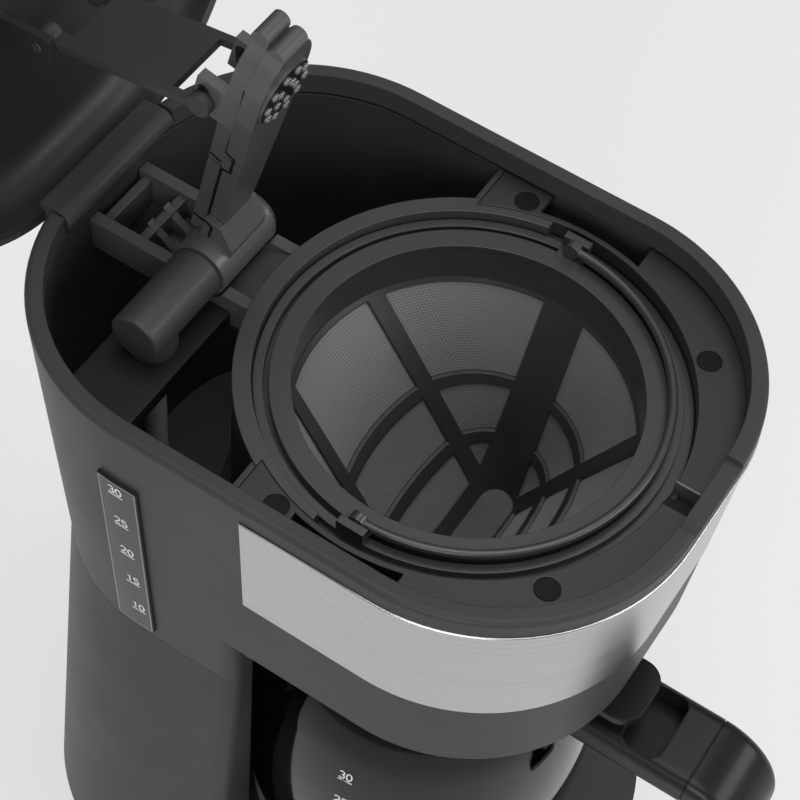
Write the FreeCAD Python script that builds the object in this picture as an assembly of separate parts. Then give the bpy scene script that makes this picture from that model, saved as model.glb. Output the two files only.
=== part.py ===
import FreeCAD, Part
import math
import os

# Drip coffee maker. Millimetres, +Z up, front towards -Y, water gauge on the -X side.
# Shapes are drawn about the brew axis (x = 0, y = 0) and moved by brew_y when written,
# so that the origin is on the table under the middle of the whole part with its lid open.

# Body outline at the rim: a rounded rectangle
body_half_width = 90.3
body_front = 91.8
body_rear = 151.2
corner_r = 73.5
brew_y = -20.1

# Heights above the table
foot_h = 4.0
base_top_z = 48.0
waist_z = 207.0
skirt_rise = 33.0
rim_z = 345.0
deck_drop = 10.5

# Body taper and walls
waist_inset = 8.0
base_flare = 7.0
wall = 3.0
rim_width = 6.3
rim_lip_h = 9.0
rim_round = 2.0
floor_t = 3.0
body_gap = 0.4

# Carafe bay in the front of the column
column_front = 36.0
bay_r = 79.0
arch_r = 10.0
column_corner_r = 6.0
floor_hole_r = 48.0

# Rim details
finger_notch_half = 16.3
finger_notch_depth = 2.5

# Steel band and gauge window
band_end_y = 29.5
band_drop = 8.5
band_h = 56.5
band_proud = 0.3
band_sunk = 0.5
trim_gap = 0.1
gauge_y = 78.5
gauge_w = 16.0
gauge_rise = 6.0
gauge_drop = 31.0
gauge_proud = 1.4
gauge_sunk = 1.0

# Water tank
tank_wall = 2.0
tank_drop = 27.0
tank_front_y = 38.0
side_room = 11.9
ring_wall_t = 2.4
ring_gap = 0.5

# Top deck and its fasteners
deck_t = 2.5
deck_flange_t = 2.0
deck_flange_h = 14.0
deck_window_front = -22.0
deck_window_rear = 18.0
latch_pocket_half = 5.0
plug_r = 4.3
plug_t = 1.2
plug_proud = 0.2
deck_screw_r = 2.0
deck_screw_head_r = 3.6
deck_screw_head_h = 2.2
deck_screw_len = 14.0
deck_boss_h = 10.0
rear_plug_margin = 4.94
rear_plug_deg = 17.5
front_plug_margin = 5.64
front_plug_deg = -48.9

# Basket, filter and bail
holder_lip_t = 3.3
holder_lip_y = 12.0
holder_ledge_drop = 6.7
holder_ledge_t = 5.8
holder_flange_t = 1.4
lip_gap = 0.7
ledge_gap = 0.5
basket_rim_w = 2.2
basket_rim_t = 3.0
basket_rim_lift = 0.1
basket_shoulder_drop = 4.0
basket_floor_drop = 25.0
basket_floor_r = 38.0
basket_floor_t = 2.5
basket_wall = 2.2
basket_mouth_t = 1.0
basket_seat_drop = 3.7
basket_seat_w = 4.5
nozzle_r = 8.0
nozzle_bore_r = 4.5
nozzle_len = 5.0
filter_rim_gap = 2.0
filter_rim_h = 4.3
filter_rim_over = 1.5
filter_rim_lip_h = 1.2
filter_hang_gap = 1.7
filter_top_drop = 1.2
filter_band_h = 12.0
filter_band_taper = 1.0
filter_floor_rise = 19.0
filter_low_y = -8.0
filter_low_half_x = 30.0
filter_low_half_y = 6.5
filter_t = 1.6
filter_floor_t = 1.5
mesh_t = 0.5
mesh_gap = 0.1
mesh_lap = 2.0
pane_top_drop = 2.0
pane_low_rise = 2.5
hoop_h = 4.0
high_hoop_share = 0.536
low_hoop_share = 0.245
rib_w = 6.0
rib_x = 25.5
wide_rib_w = 16.4
wide_rib_y = -5.0
bail_out = 0.9
bail_rise = 4.5
bail_bar_r = 1.6
bail_eye_r = 3.0
bail_pin_r = 1.5
ear_gap = 0.4
ear_t = 3.0
ear_half_y = 5.0
ear_foot_t = 0.6
ear_foot_in = 2.0
ear_over = 1.8
running_gap = 0.05
seat_gap = 0.3

# Drip valve in the basket floor
cage_r = 11.0
cage_t = 2.0
cage_h = 12.0
cage_slot_margin = 1.0
cage_cap_t = 1.5
cage_slot_w = 7.0
plunger_r = 2.5
plunger_head_r = 7.0
plunger_head_t = 2.0
plunger_lift = 2.5
plunger_top_drop = 0.5
valve_seal_t = 1.5
valve_seal_r = 6.6
spring_r = 6.4
spring_t = 1.4

# Base, feet and fasteners
base_plate_t = 2.5
base_plate_rise = 1.0
foot_r = 9.0
foot_x = 62.0
front_foot_y = -62.0
rear_foot_y = 122.0
boss_r = 5.0
screw_r = 1.8
screw_head_r = 3.6
screw_head_h = 1.6
screw_len = 16.0
front_boss_x = 74.0
front_boss_y = -30.0
rear_boss_x = 30.0
rear_boss_y = 148.5

# Hot plate, heater and pipes
plate_over = 6.2
plate_t = 2.0
plate_skirt_r = 59.8
plate_skirt_h = 5.0
plate_skirt_t = 2.0
heat_pad_h = 7.4
heat_pad_r = 48.0
heat_pad_in_r = 24.0
seal_t = 2.0
seal_over = 2.0
seal_neck_t = 1.6
heater_r = 4.2
heater_bend_r = 30.0
heater_leg = 52.0
pipe_r = 4.0
pipe_bore_r = 3.0
pipe_bend_r = 42.0
pipe_leg = 66.0
hose_t = 1.6
hose_bend_r = 22.0
hose_overlap = 8.0
strap_t = 2.4
strap_gap = 0.1
strap_half_x = 48.0
strap_half_y = 5.0
thermostat_r = 9.0
thermostat_h = 8.0
riser_y = 98.7
inlet_y = 105.0
hose_top_drop = 4.0
valve_stem_drop = 14.0
check_valve_head_r = 7.5
check_valve_head_h = 6.0
grommet_r = 7.0
grommet_flange_r = 9.5
grommet_flange_t = 1.5

# Water duct, swivel hub and bridge
duct_drop = 11.5
duct_t = 6.0
duct_front_y = 85.0
duct_rear_y = 112.2
duct_rail_gap = 0.4
riser_sink = 3.0
pivot_rise = 1.0
hub_r = 9.5
hub_leg_r = 8.8
hub_end_x = -52.0
hub_end_round = 1.2
hub_shoulder_x = -16.2
hub_bore_r = 4.0
journal_r = 7.0
journal_end_x = 16.5
hub_seal_t = 1.0
hub_seal_w = 2.0
hub_seal_x = -8.0
retainer_r = 9.4
retainer_t = 1.8
rail_half_x = 16.4
rail_t = 4.6
rail_drop = 4.5
bar_drop = 2.0
rail_h = 14.0
rail_barrel_gap = 0.8
cross_bar_t = 3.5
rear_bar_y = 139.0
mid_bar_y = 124.0
panel_rear_y = 91.0
panel_t = 2.4
panel_fall = 4.5
gusset_t = 3.0
hanger_front_y = 91.0
hanger_rear_y = 107.0
hanger_reach = 5.0
hanger_t = 3.0

# Spray arm, drawn lying flat towards the front and then raised
arm_raise = 77.0
barrel_r = 10.8
barrel_end_gap = 0.4
arm_half_x = 7.0
arm_low = -0.5
arm_split = 6.0
arm_top = 11.8
arm_start = 6.0
head_half_x = 12.5
head_start = 80.0
head_end = 95.0
head_bend_x = 10.6
head_bend = 104.0
tip_half_x = 6.5
tip_reach = 110.0
cover_step = 0.7
back_nose_r = 3.2
back_nose_reach = 111.5
back_nose_rise = 9.3
front_nose_r = 3.1
front_nose_reach = 109.5
front_nose_rise = 2.7
nose_wall = 1.1
nose_hole_x = -3.0
heel_half_x = 10.0
heel_reach = 19.5
heel_in = 12.0
heel_low = -7.0
groove_w = 0.9
groove_depth = 0.8
low_back_groove = 13.0
low_front_groove = 20.7
high_back_groove = 50.3
high_front_groove = 57.9
spray_reach = 90.0
spray_plate_r = 12.0
spray_plate_low = -1.4
spray_hole_r = 0.7
spray_nub_r = 1.5
spray_nub_h = 0.9
outer_spray_r = 9.6
outer_spray_count = 10
inner_spray_r = 4.8
inner_spray_count = 5
water_half_x = 4.5
water_wall = 1.3
water_depth = 3.2
lug_reach = 78.0
lug_rise = 18.0
lug_in_x = 8.0
lug_out_x = 12.0
lug_front = 9.0
lug_back = 5.0
lug_top = 22.4
slot_out = 4.4
slot_rise = 1.3
slot_drop = 0.12
slot_gap = 0.45

# Lid, its hinge and the lift link
lid_open = 93.0
hinge_in = 4.2
hinge_drop = 5.0
lid_gap = 0.6
lid_inset = 0.3
lid_h = 22.0
lid_round = 16.0
lid_t = 2.2
liner_gap = 0.2
liner_t = 2.0
hinge_half_x = 29.5
hinge_notch_gap = 1.0
hinge_notch_h = 11.5
hinge_web_rise = 2.0
hinge_barrel_r = 4.6
hinge_pin_r = 2.0
hinge_pin_in = 6.0
hinge_pin_out = 4.0
link_up = 67.0
link_back = 12.0
link_half_x = 15.5
link_t = 3.0
link_eye_r = 4.2
link_pin_r = 1.8
link_web_start = 8.0
link_web_end = 49.5
link_mid_half_x = 9.4
prong_in_x = 12.4
bracket_in_x = 15.9
bracket_t = 3.0
bracket_half_y = 5.5
latch_half_x = 4.0
latch_front_y = -81.0
latch_rear_y = -77.0
latch_rise = 2.5

# Carafe
carafe_gap = 0.2
glass_t = 2.2
belly_r = 72.8
belly_rise = 58.0
side_bend_r = 260.0
base_bend_r = 14.0
shoulder_bend_r = 46.0
shoulder_rise = 54.0
neck_r = 49.6
lip_drop = 4.0
collar_drop = 1.0
collar_h = 9.0
collar_gap = 0.4
collar_t = 3.0
collar_bite = 3.0
carafe_lid_over = 2.9
carafe_lid_gap = 0.3
carafe_lid_t = 3.7
lid_plug_r = 45.5
lid_plug_h = 7.0
lid_plug_t = 2.0
lid_dish_r = 40.0
lid_dish_depth = 2.2
pusher_r = 5.0
drain_r = 2.0
drain_ring_r = 10.0
drain_count = 6
tab_half_x = 14.0
tab_end_y = -93.0
tab_round = 9.0
carafe_pin_r = 1.8
carafe_pin_out = 9.4
carafe_pin_drop = 4.3
lid_lug_half_x = 8.0
ear_half_x = 16.0
lug_half_y = 3.6
handle_half_x = 17.5
handle_drop = 6.0
handle_bar_t = 16.0
handle_root_y = -66.0
handle_front_y = -146.0
handle_rise = 31.8
grip_t = 19.0
handle_bend_r = 28.0
handle_inner_bend_r = 10.0
handle_round = 5.0
recess_half_x = 14.6
recess_front_y = -105.0
recess_rear_y = -89.0
recess_depth = 12.5
recess_round = 5.0
handle_seam_y = -118.5
handle_seam_w = 0.6
handle_seam_depth = 0.5
cap_t = 1.5
tongue_half_x = 10.0
tongue_end_y = -88.0
strut_t = 2.0
strut_drop = 3.5
tongue_drop = 5.0
tongue_t = 4.0
collar_screw_y = -80.0
collar_screw_r = 1.5
collar_screw_head_r = 3.0
collar_screw_head_h = 2.0

# Switch, lamp and cord inlet
button_z = 26.0
button_r = 9.0
button_gap = 0.3
button_face_y = -100.6
button_round = 1.0
button_len = 9.6
bezel_r = 12.5
bezel_sleeve_r = 10.9
bezel_face_y = -99.6
bezel_flange_t = 1.4
bezel_rear_y = -76.0
switch_gap = 2.4
lens_z = 41.5
lens_r = 2.0
lens_len = 5.0
lens_proud = 0.8
gland_z = 22.0
gland_r = 6.5
gland_bore_r = 3.5
gland_flange_r = 9.0
gland_flange_t = 1.8
gland_len = 9.0
wall_lean_gap = 0.8

far = 200.0
cut_over = 1.0
X_AXIS = FreeCAD.Vector(1, 0, 0)
Y_AXIS = FreeCAD.Vector(0, 1, 0)
Z_AXIS = FreeCAD.Vector(0, 0, 1)

# Sizes that follow from the ones above
lip_under_z = rim_z - rim_lip_h
skirt_z = waist_z + skirt_rise
deck_z = rim_z - deck_drop
band_high_z = rim_z - band_drop
band_low_z = band_high_z - band_h
gauge_low_z = waist_z + gauge_rise
gauge_high_z = rim_z - gauge_drop
tank_floor_z = waist_z - tank_drop
tank_offset = wall + body_gap
tank_in_offset = tank_offset + tank_wall
ring_wall_r = body_half_width - side_room
holder_r = ring_wall_r - ring_wall_t - ring_gap
deck_hole_r = holder_r + seat_gap
holder_lip_r = holder_r - holder_lip_t
holder_ledge_z = deck_z - holder_ledge_drop
holder_low_z = holder_ledge_z - holder_ledge_t
basket_rim_r = holder_lip_r - lip_gap
basket_body_r = basket_rim_r - basket_rim_w
basket_mouth_r = basket_body_r - basket_mouth_t
basket_seat_r = basket_mouth_r - basket_seat_w
holder_ledge_r = basket_body_r + ledge_gap
basket_rim_z = holder_ledge_z + basket_rim_t + basket_rim_lift
basket_seat_z = basket_rim_z - basket_seat_drop
basket_shoulder_z = holder_low_z - basket_shoulder_drop
basket_floor_z = skirt_z - basket_floor_drop
basket_floor_top_z = basket_floor_z + basket_floor_t
cage_top_z = basket_floor_top_z + cage_h
plunger_top_z = cage_top_z - plunger_top_drop
filter_rim_r = basket_mouth_r - filter_rim_gap
filter_top_r = basket_seat_r - filter_hang_gap - filter_t
filter_rim_in_r = filter_top_r - filter_rim_over
filter_band_r = filter_top_r - filter_band_taper
filter_rim_z = basket_seat_z + filter_rim_h
filter_top_z = basket_seat_z - filter_top_drop
filter_band_z = filter_top_z - filter_band_h
filter_low_z = basket_floor_z + filter_floor_rise
pane_top_z = filter_band_z - pane_top_drop
pane_low_z = filter_low_z + pane_low_rise
bail_r = filter_rim_r + bail_out
bail_z = basket_rim_z + bail_rise
pivot_z = deck_z + pivot_rise
rail_top_z = deck_z - rail_drop
spray_y = riser_y - spray_reach
duct_top_z = deck_z - duct_drop
duct_end_x = -rail_half_x - duct_rail_gap
hinge_y = body_rear - hinge_in
hinge_z = rim_z - hinge_drop
hinge_notch_z = rim_z - hinge_notch_h
latch_low_z = deck_z + latch_rise
hose_r = pipe_r + hose_t
hose_top_z = tank_floor_z - hose_top_drop
valve_stem_low_z = tank_floor_z - valve_stem_drop
plate_r = plate_skirt_r + plate_over
plate_hole_r = plate_skirt_r + 2 * seat_gap + seal_neck_t
seal_r = plate_r + seal_over
plate_top_z = base_top_z + seal_t + plate_t
plate_under_z = base_top_z + seal_t - heat_pad_h
pipe_z = plate_under_z - pipe_r - seat_gap
heater_z = plate_under_z - heater_r - seat_gap
strap_top_z = min(pipe_z - pipe_r, heater_z - heater_r) - strap_gap
base_plate_z = foot_h + base_plate_rise
carafe_low_z = plate_top_z + carafe_gap
lip_z = waist_z - lip_drop
collar_high_z = lip_z - collar_drop
collar_low_z = collar_high_z - collar_h
collar_r = neck_r + collar_gap
carafe_lid_z = lip_z + carafe_lid_gap
carafe_lid_top_z = carafe_lid_z + carafe_lid_t
carafe_lid_r = neck_r + carafe_lid_over
carafe_pin_y = -neck_r - carafe_pin_out
carafe_pin_z = carafe_lid_z - carafe_pin_drop
handle_top_z = collar_high_z - handle_drop
handle_low_z = carafe_low_z + handle_rise
tongue_high_z = handle_top_z - tongue_drop
tongue_low_z = tongue_high_z - tongue_t
arm_pivot = FreeCAD.Vector(0, riser_y, pivot_z)
lid_pivot = FreeCAD.Vector(0, hinge_y, hinge_z)


def vec(x, y, z):
    return FreeCAD.Vector(x, y, z)


def box(x0, x1, y0, y1, z0, z1):
    return Part.makeBox(x1 - x0, y1 - y0, z1 - z0, vec(x0, y0, z0))


def cyl(r, z0, z1, x=0.0, y=0.0):
    return Part.makeCylinder(r, z1 - z0, vec(x, y, z0))


def cyl_x(r, x0, x1, y, z):
    return Part.makeCylinder(r, x1 - x0, vec(x0, y, z), X_AXIS)


def cyl_y(r, y0, y1, x, z):
    return Part.makeCylinder(r, y1 - y0, vec(x, y0, z), Y_AXIS)


def tube(r_out, r_in, z0, z1, x=0.0, y=0.0):
    return cyl(r_out, z0, z1, x, y).cut(cyl(r_in, z0 - cut_over, z1 + cut_over, x, y))


def joined(shapes):
    """One solid from overlapping solids, with seams between flush faces removed."""
    return shapes[0].multiFuse(shapes[1:]).removeSplitter()


def both_sides(shape):
    """A shape on the +X side and its mirror image."""
    return [shape, shape.mirror(vec(0, 0, 0), X_AXIS)]


def revolved(points):
    """A solid of revolution about the brew axis from (radius, height) corners."""
    corners = [vec(r, 0, z) for r, z in points]
    face = Part.Face(Part.makePolygon(corners + corners[:1]))
    return face.revolve(vec(0, 0, 0), Z_AXIS, 360)


def plate_yz(points, x0, x1):
    """A flat plate across X from (y, z) corners."""
    corners = [vec(x0, y, z) for y, z in points]
    face = Part.Face(Part.makePolygon(corners + corners[:1]))
    return face.extrude(vec(x1 - x0, 0, 0))


def rounded_box(x0, x1, y0, y1, z0, z1, r):
    """A box whose upright edges are rounded."""
    block = box(x0, x1, y0, y1, z0, z1)
    upright = [e for e in block.Edges if abs(e.tangentAt(e.FirstParameter).z) > 0.9]
    return block.makeFillet(r, upright)


def outline(inset, z):
    """The body's rounded-rectangle outline, drawn in by inset, at height z."""
    half = body_half_width - inset
    front = inset - body_front
    rear = body_rear - inset
    r = corner_r - inset
    diagonal = r * math.sqrt(0.5)
    edges = []
    corners = ((half, front, 1, -1), (half, rear, 1, 1), (-half, rear, -1, 1), (-half, front, -1, -1))
    points = []
    for cx, cy, sx, sy in corners:
        mx = cx - sx * r
        my = cy - sy * r
        on_side = vec(cx, my, z)
        on_end = vec(mx, cy, z)
        middle = vec(mx + sx * diagonal, my + sy * diagonal, z)
        pair = (on_end, middle, on_side) if sx * sy < 0 else (on_side, middle, on_end)
        points.append(pair)
    for index, (start, middle, end) in enumerate(points):
        edges.append(Part.Arc(start, middle, end).toShape())
        following = points[(index + 1) % len(points)][0]
        edges.append(Part.LineSegment(end, following).toShape())
    return Part.Wire(edges)


def upper_inset(z):
    return waist_inset * (rim_z - z) / (rim_z - waist_z)


def lower_inset(z):
    return waist_inset - (waist_inset + base_flare) * (waist_z - z) / (waist_z - foot_h)


def upper_body(offset, z0, z1):
    """The tapered upper body, drawn in by offset."""
    wires = [outline(upper_inset(z) + offset, z) for z in (z0, z1)]
    return Part.makeLoft(wires, True, True)


def lower_body(offset, z0, z1):
    """The flared lower body, drawn in by offset."""
    wires = [outline(lower_inset(z) + offset, z) for z in (z0, z1)]
    return Part.makeLoft(wires, True, True)


def straight_body(inset, z0, z1):
    """An upright prism of the rim outline, drawn in by inset."""
    return Part.Face(outline(inset, z0)).extrude(vec(0, 0, z1 - z0))


def bay(clear, z0, z1, arch=0.0):
    """The space in front of the column, with the round hollow for the carafe."""
    front = box(-far, far, -far, column_front + clear, z0, z1)
    if arch:
        ridge = [e for e in front.Edges
                 if all(abs(v.Y - column_front - clear) < 0.01 and abs(v.Z - z1) < 0.01 for v in e.Vertexes)]
        front = front.makeFillet(arch, ridge)
    return joined([front, cyl(bay_r + clear, z0, z1)])


def column_corner(inset_at, z0, z1):
    """What rounds the column's front edge on the +X side takes away."""
    wires = []
    for z in (z0, z1):
        side = body_half_width - inset_at(z)
        inner = side - column_corner_r
        back = column_front + column_corner_r
        diagonal = column_corner_r * math.sqrt(0.5)
        front = column_front - column_corner_r
        start = vec(inner, column_front, z)
        end = vec(side, back, z)
        middle = vec(inner + diagonal, back - diagonal, z)
        arc = Part.Arc(start, middle, end).toShape()
        outside = [end, vec(side + far, back, z), vec(side + far, front, z), vec(inner, front, z), start]
        wires.append(Part.Wire([arc] + Part.makePolygon(outside).Edges))
    return Part.makeLoft(wires, True, True)


def band_region(gap):
    """The part of the body's skin that the steel band covers."""
    return box(-far, far, -far, band_end_y + gap, band_low_z - gap, band_high_z + gap)


def gauge_region(gap):
    """The part of the body's skin that the gauge window covers."""
    half = gauge_w / 2 + gap
    return box(-far, -corner_r / 2, gauge_y - half, gauge_y + half, gauge_low_z - gap, gauge_high_z + gap)


def skin(proud, sunk, region):
    """A layer of the upper body's skin, from sunk below to proud above the surface."""
    over = upper_body(-proud, waist_z, rim_z)
    under = upper_body(sunk, waist_z - cut_over, rim_z + cut_over)
    return over.cut(under).common(region)


def hinge_pins():
    start = hinge_half_x - hinge_pin_in
    end = hinge_half_x + hinge_notch_gap + hinge_pin_out
    return Part.makeCompound(both_sides(cyl_x(hinge_pin_r, start, end, hinge_y, hinge_z)))


def upper_housing():
    outer = upper_body(0, waist_z, rim_z)
    top_edges = [e for e in outer.Edges if all(abs(v.Z - rim_z) < 0.01 for v in e.Vertexes)]
    outer = outer.makeFillet(rim_round, top_edges)
    outer = outer.cut(bay(0, waist_z - cut_over, skirt_z, arch_r))
    for corner in both_sides(column_corner(upper_inset, waist_z - cut_over, skirt_z)):
        outer = outer.cut(corner)
    inner = upper_body(wall, waist_z - cut_over, lip_under_z)
    inner = inner.cut(bay(wall, waist_z - 2 * cut_over, skirt_z + floor_t))
    notch_x = hinge_half_x + hinge_notch_gap
    cuts = [
        inner,
        straight_body(rim_width, lip_under_z - cut_over, rim_z + cut_over),
        cyl(floor_hole_r, skirt_z - cut_over, skirt_z + floor_t + cut_over),
        box(-finger_notch_half, finger_notch_half, -body_front - cut_over, rim_width + cut_over - body_front,
            rim_z - finger_notch_depth, rim_z + cut_over),
        box(-notch_x, notch_x, body_rear - 2 * rim_width, body_rear + cut_over, hinge_notch_z, rim_z + cut_over),
        skin(cut_over, band_sunk, band_region(trim_gap)),
        skin(cut_over, gauge_sunk, gauge_region(trim_gap)),
    ]
    for cut in cuts:
        outer = outer.cut(cut)
    return outer.cut(hinge_pins())


def steel_band():
    return skin(band_proud, band_sunk, band_region(0))


def gauge_window():
    return skin(gauge_proud, gauge_sunk, gauge_region(0))


def boss_places():
    return ((front_boss_x, front_boss_y), (-front_boss_x, front_boss_y),
            (rear_boss_x, rear_boss_y), (-rear_boss_x, rear_boss_y))


def lower_housing():
    outer = lower_body(0, foot_h, waist_z)
    outer = outer.cut(bay(0, base_top_z, waist_z + cut_over))
    for corner in both_sides(column_corner(lower_inset, base_top_z, waist_z + cut_over)):
        outer = outer.cut(corner)
    inner = lower_body(wall, foot_h - cut_over, waist_z + cut_over)
    inner = inner.cut(bay(wall, base_top_z - wall, waist_z + 2 * cut_over))
    shell = outer.cut(inner)
    boss_low_z = base_plate_z + base_plate_t
    bosses = [cyl(boss_r, boss_low_z, base_top_z - cut_over, x, y) for x, y in boss_places()]
    shell = joined([shell] + bosses)
    for x, y in boss_places():
        shell = shell.cut(cyl(screw_r, boss_low_z - cut_over, boss_low_z + screw_len, x, y))
    shell = shell.cut(cyl(plate_hole_r, base_top_z - wall - cut_over, base_top_z + cut_over))
    shell = shell.cut(cyl_y(bezel_sleeve_r, -far, -body_front + 2 * wall, 0, button_z))
    shell = shell.cut(cyl_y(lens_r, -far, -body_front + 2 * wall, 0, lens_z))
    return shell.cut(cyl_y(gland_r, body_rear - 2 * wall, far, 0, gland_z))


def base_plate():
    plate = straight_body(lower_inset(base_plate_z) + wall + seat_gap, base_plate_z, base_plate_z + base_plate_t)
    for x, y in boss_places():
        plate = plate.cut(cyl(screw_r, foot_h, base_top_z, x, y))
    return plate


def base_screws():
    screws = []
    for x, y in boss_places():
        head = cyl(screw_head_r, base_plate_z - screw_head_h, base_plate_z, x, y)
        shank = cyl(screw_r, base_plate_z - screw_head_h, base_plate_z + screw_len, x, y)
        screws.append(joined([head, shank]))
    return Part.makeCompound(screws)


def rubber_feet():
    places = [(sx * foot_x, y) for y in (front_foot_y, rear_foot_y) for sx in (1, -1)]
    return Part.makeCompound([cyl(foot_r, 0, base_plate_z, x, y) for x, y in places])


def hot_plate():
    under = base_top_z + seal_t
    top = cyl(plate_r, under, plate_top_z)
    skirt = tube(plate_skirt_r, plate_skirt_r - plate_skirt_t, under - plate_skirt_h, plate_top_z)
    pad = tube(heat_pad_r, heat_pad_in_r, plate_under_z, plate_top_z)
    return joined([top, skirt, pad])


def hot_plate_seal():
    ring = tube(seal_r, plate_skirt_r + seat_gap, base_top_z, base_top_z + seal_t)
    neck = tube(plate_hole_r - seat_gap, plate_skirt_r + seat_gap, base_top_z - wall, base_top_z + seal_t)
    return joined([ring, neck])


def u_tube(r, bend_r, leg, z):
    """A round bar bent to a U that is open to the rear."""
    section = Part.Face(Part.Wire(Part.makeCircle(r, vec(bend_r, 0, z), Y_AXIS)))
    bend = section.revolve(vec(0, 0, z), Z_AXIS, -180)
    legs = [cyl_y(r, 0, leg, sx * bend_r, z) for sx in (1, -1)]
    return joined([bend] + legs)


def heating_element():
    return u_tube(heater_r, heater_bend_r, heater_leg, heater_z)


def boiler_tube():
    return u_tube(pipe_r, pipe_bend_r, pipe_leg, pipe_z).cut(
        u_tube(pipe_bore_r, pipe_bend_r, pipe_leg + cut_over, pipe_z))


def heater_strap():
    low = strap_top_z - strap_t
    return box(-strap_half_x, strap_half_x, -strap_half_y, strap_half_y, low, strap_top_z)


def thermostat():
    top = strap_top_z - strap_t
    return cyl(thermostat_r, top - thermostat_h, top)


def bent_pipe(r, x, up_y, top_z, start_y):
    """A round bar that runs to the rear, bends up and rises to top_z."""
    bend_y = up_y - hose_bend_r
    section = Part.Face(Part.Wire(Part.makeCircle(r, vec(x, bend_y, pipe_z), Y_AXIS)))
    bend = section.revolve(vec(x, bend_y, pipe_z + hose_bend_r), X_AXIS, 90)
    run = cyl_y(r, start_y, bend_y, x, pipe_z)
    rise = cyl(r, pipe_z + hose_bend_r, top_z, x, up_y)
    return joined([run, bend, rise])


def hose(x, up_y):
    start = pipe_leg - hose_overlap
    outside = bent_pipe(hose_r, x, up_y, hose_top_z, start)
    bore = bent_pipe(pipe_r, x, up_y, hose_top_z + cut_over, start - cut_over)
    return outside.cut(bore)


def inlet_hose():
    return hose(pipe_bend_r, inlet_y)


def riser_hose():
    return hose(-pipe_bend_r, riser_y)


def water_tank():
    step_z = skirt_z + floor_t + body_gap
    outer = upper_body(tank_offset, tank_floor_z, deck_z)
    outer = outer.cut(box(-far, far, -far, tank_front_y, 0, rim_z))
    outer = outer.cut(bay(wall + body_gap, 0, step_z))
    outer = outer.cut(cyl(ring_wall_r - ring_wall_t, 0, rim_z))
    inner = upper_body(tank_in_offset, tank_floor_z + tank_wall, rim_z)
    inner = inner.cut(box(-far, far, -far, tank_front_y + tank_wall, 0, rim_z))
    inner = inner.cut(bay(wall + body_gap + tank_wall, 0, step_z + tank_wall))
    inner = inner.cut(cyl(ring_wall_r, 0, rim_z + cut_over))
    tank = outer.cut(inner)
    tank = tank.cut(cyl(ring_wall_r + seat_gap, deck_z - holder_flange_t - running_gap, rim_z))
    for x, y in ((-pipe_bend_r, riser_y), (pipe_bend_r, inlet_y)):
        tank = tank.cut(cyl(grommet_r, tank_floor_z - cut_over, tank_floor_z + tank_wall + cut_over, x, y))
    return tank


def tank_grommets():
    solids = []
    for x, y in ((-pipe_bend_r, riser_y), (pipe_bend_r, inlet_y)):
        neck = cyl(grommet_r, tank_floor_z - grommet_flange_t, tank_floor_z + tank_wall, x, y)
        flange = cyl(grommet_flange_r, tank_floor_z - grommet_flange_t, tank_floor_z, x, y)
        hole = cyl(pipe_r, tank_floor_z - far / 2, tank_floor_z + far / 2, x, y)
        solids.append(joined([neck, flange]).cut(hole))
    return Part.makeCompound(solids)


def check_valve():
    floor = tank_floor_z + tank_wall
    stem = cyl(pipe_r, valve_stem_low_z, floor + check_valve_head_h, pipe_bend_r, inlet_y)
    head = cyl(check_valve_head_r, floor, floor + check_valve_head_h, pipe_bend_r, inlet_y)
    bore = cyl(pipe_bore_r, 0, floor + check_valve_head_h + cut_over, pipe_bend_r, inlet_y)
    return joined([stem, head]).cut(bore)


def riser_tube():
    top = duct_top_z - duct_t + riser_sink
    return tube(pipe_r, pipe_bore_r, valve_stem_low_z, top, -pipe_bend_r, riser_y)


def tank_inside(gap):
    """The tank's inner space, drawn in by gap."""
    space = upper_body(tank_in_offset + gap, tank_floor_z, rim_z)
    return space.cut(cyl(ring_wall_r + gap, 0, rim_z + cut_over))


def water_duct():
    low = duct_top_z - duct_t
    duct = box(-body_half_width, duct_end_x, duct_front_y, duct_rear_y, low, duct_top_z)
    duct = duct.common(tank_inside(seat_gap))
    duct = duct.cut(cyl(pipe_r, low - cut_over, low + riser_sink, -pipe_bend_r, riser_y))
    return duct.cut(cyl(pipe_bore_r, low, duct_top_z + cut_over, -pipe_bend_r, riser_y))


def swivel_hub():
    barrel = cyl_x(hub_r, hub_end_x, hub_shoulder_x, riser_y, pivot_z)
    end_edge = [e for e in barrel.Edges if abs(e.BoundBox.XMax - hub_end_x) < 0.01]
    barrel = barrel.makeFillet(hub_end_round, end_edge)
    journal = cyl_x(journal_r, hub_shoulder_x - cut_over, journal_end_x, riser_y, pivot_z)
    leg = cyl(hub_leg_r, duct_top_z, pivot_z, -pipe_bend_r, riser_y)
    hub = joined([barrel, journal, leg])
    hub = hub.cut(cyl(hub_bore_r, duct_top_z - cut_over, pivot_z, -pipe_bend_r, riser_y))
    hub = hub.cut(cyl_x(hub_bore_r, -pipe_bend_r, 0, riser_y, pivot_z))
    groove = cyl_x(journal_r + cut_over, hub_seal_x, hub_seal_x + hub_seal_w, riser_y, pivot_z)
    groove = groove.cut(cyl_x(journal_r - hub_seal_t, hub_seal_x, hub_seal_x + hub_seal_w, riser_y, pivot_z))
    return hub.cut(groove)


def hub_seal():
    ring = cyl_x(journal_r, hub_seal_x, hub_seal_x + hub_seal_w, riser_y, pivot_z)
    return ring.cut(cyl_x(journal_r - hub_seal_t, hub_seal_x - cut_over, far, riser_y, pivot_z))


def hub_retainer():
    start = journal_end_x - retainer_t
    ring = cyl_x(retainer_r, start, journal_end_x, riser_y, pivot_z)
    return ring.cut(cyl_x(journal_r, start - cut_over, far, riser_y, pivot_z))


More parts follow.
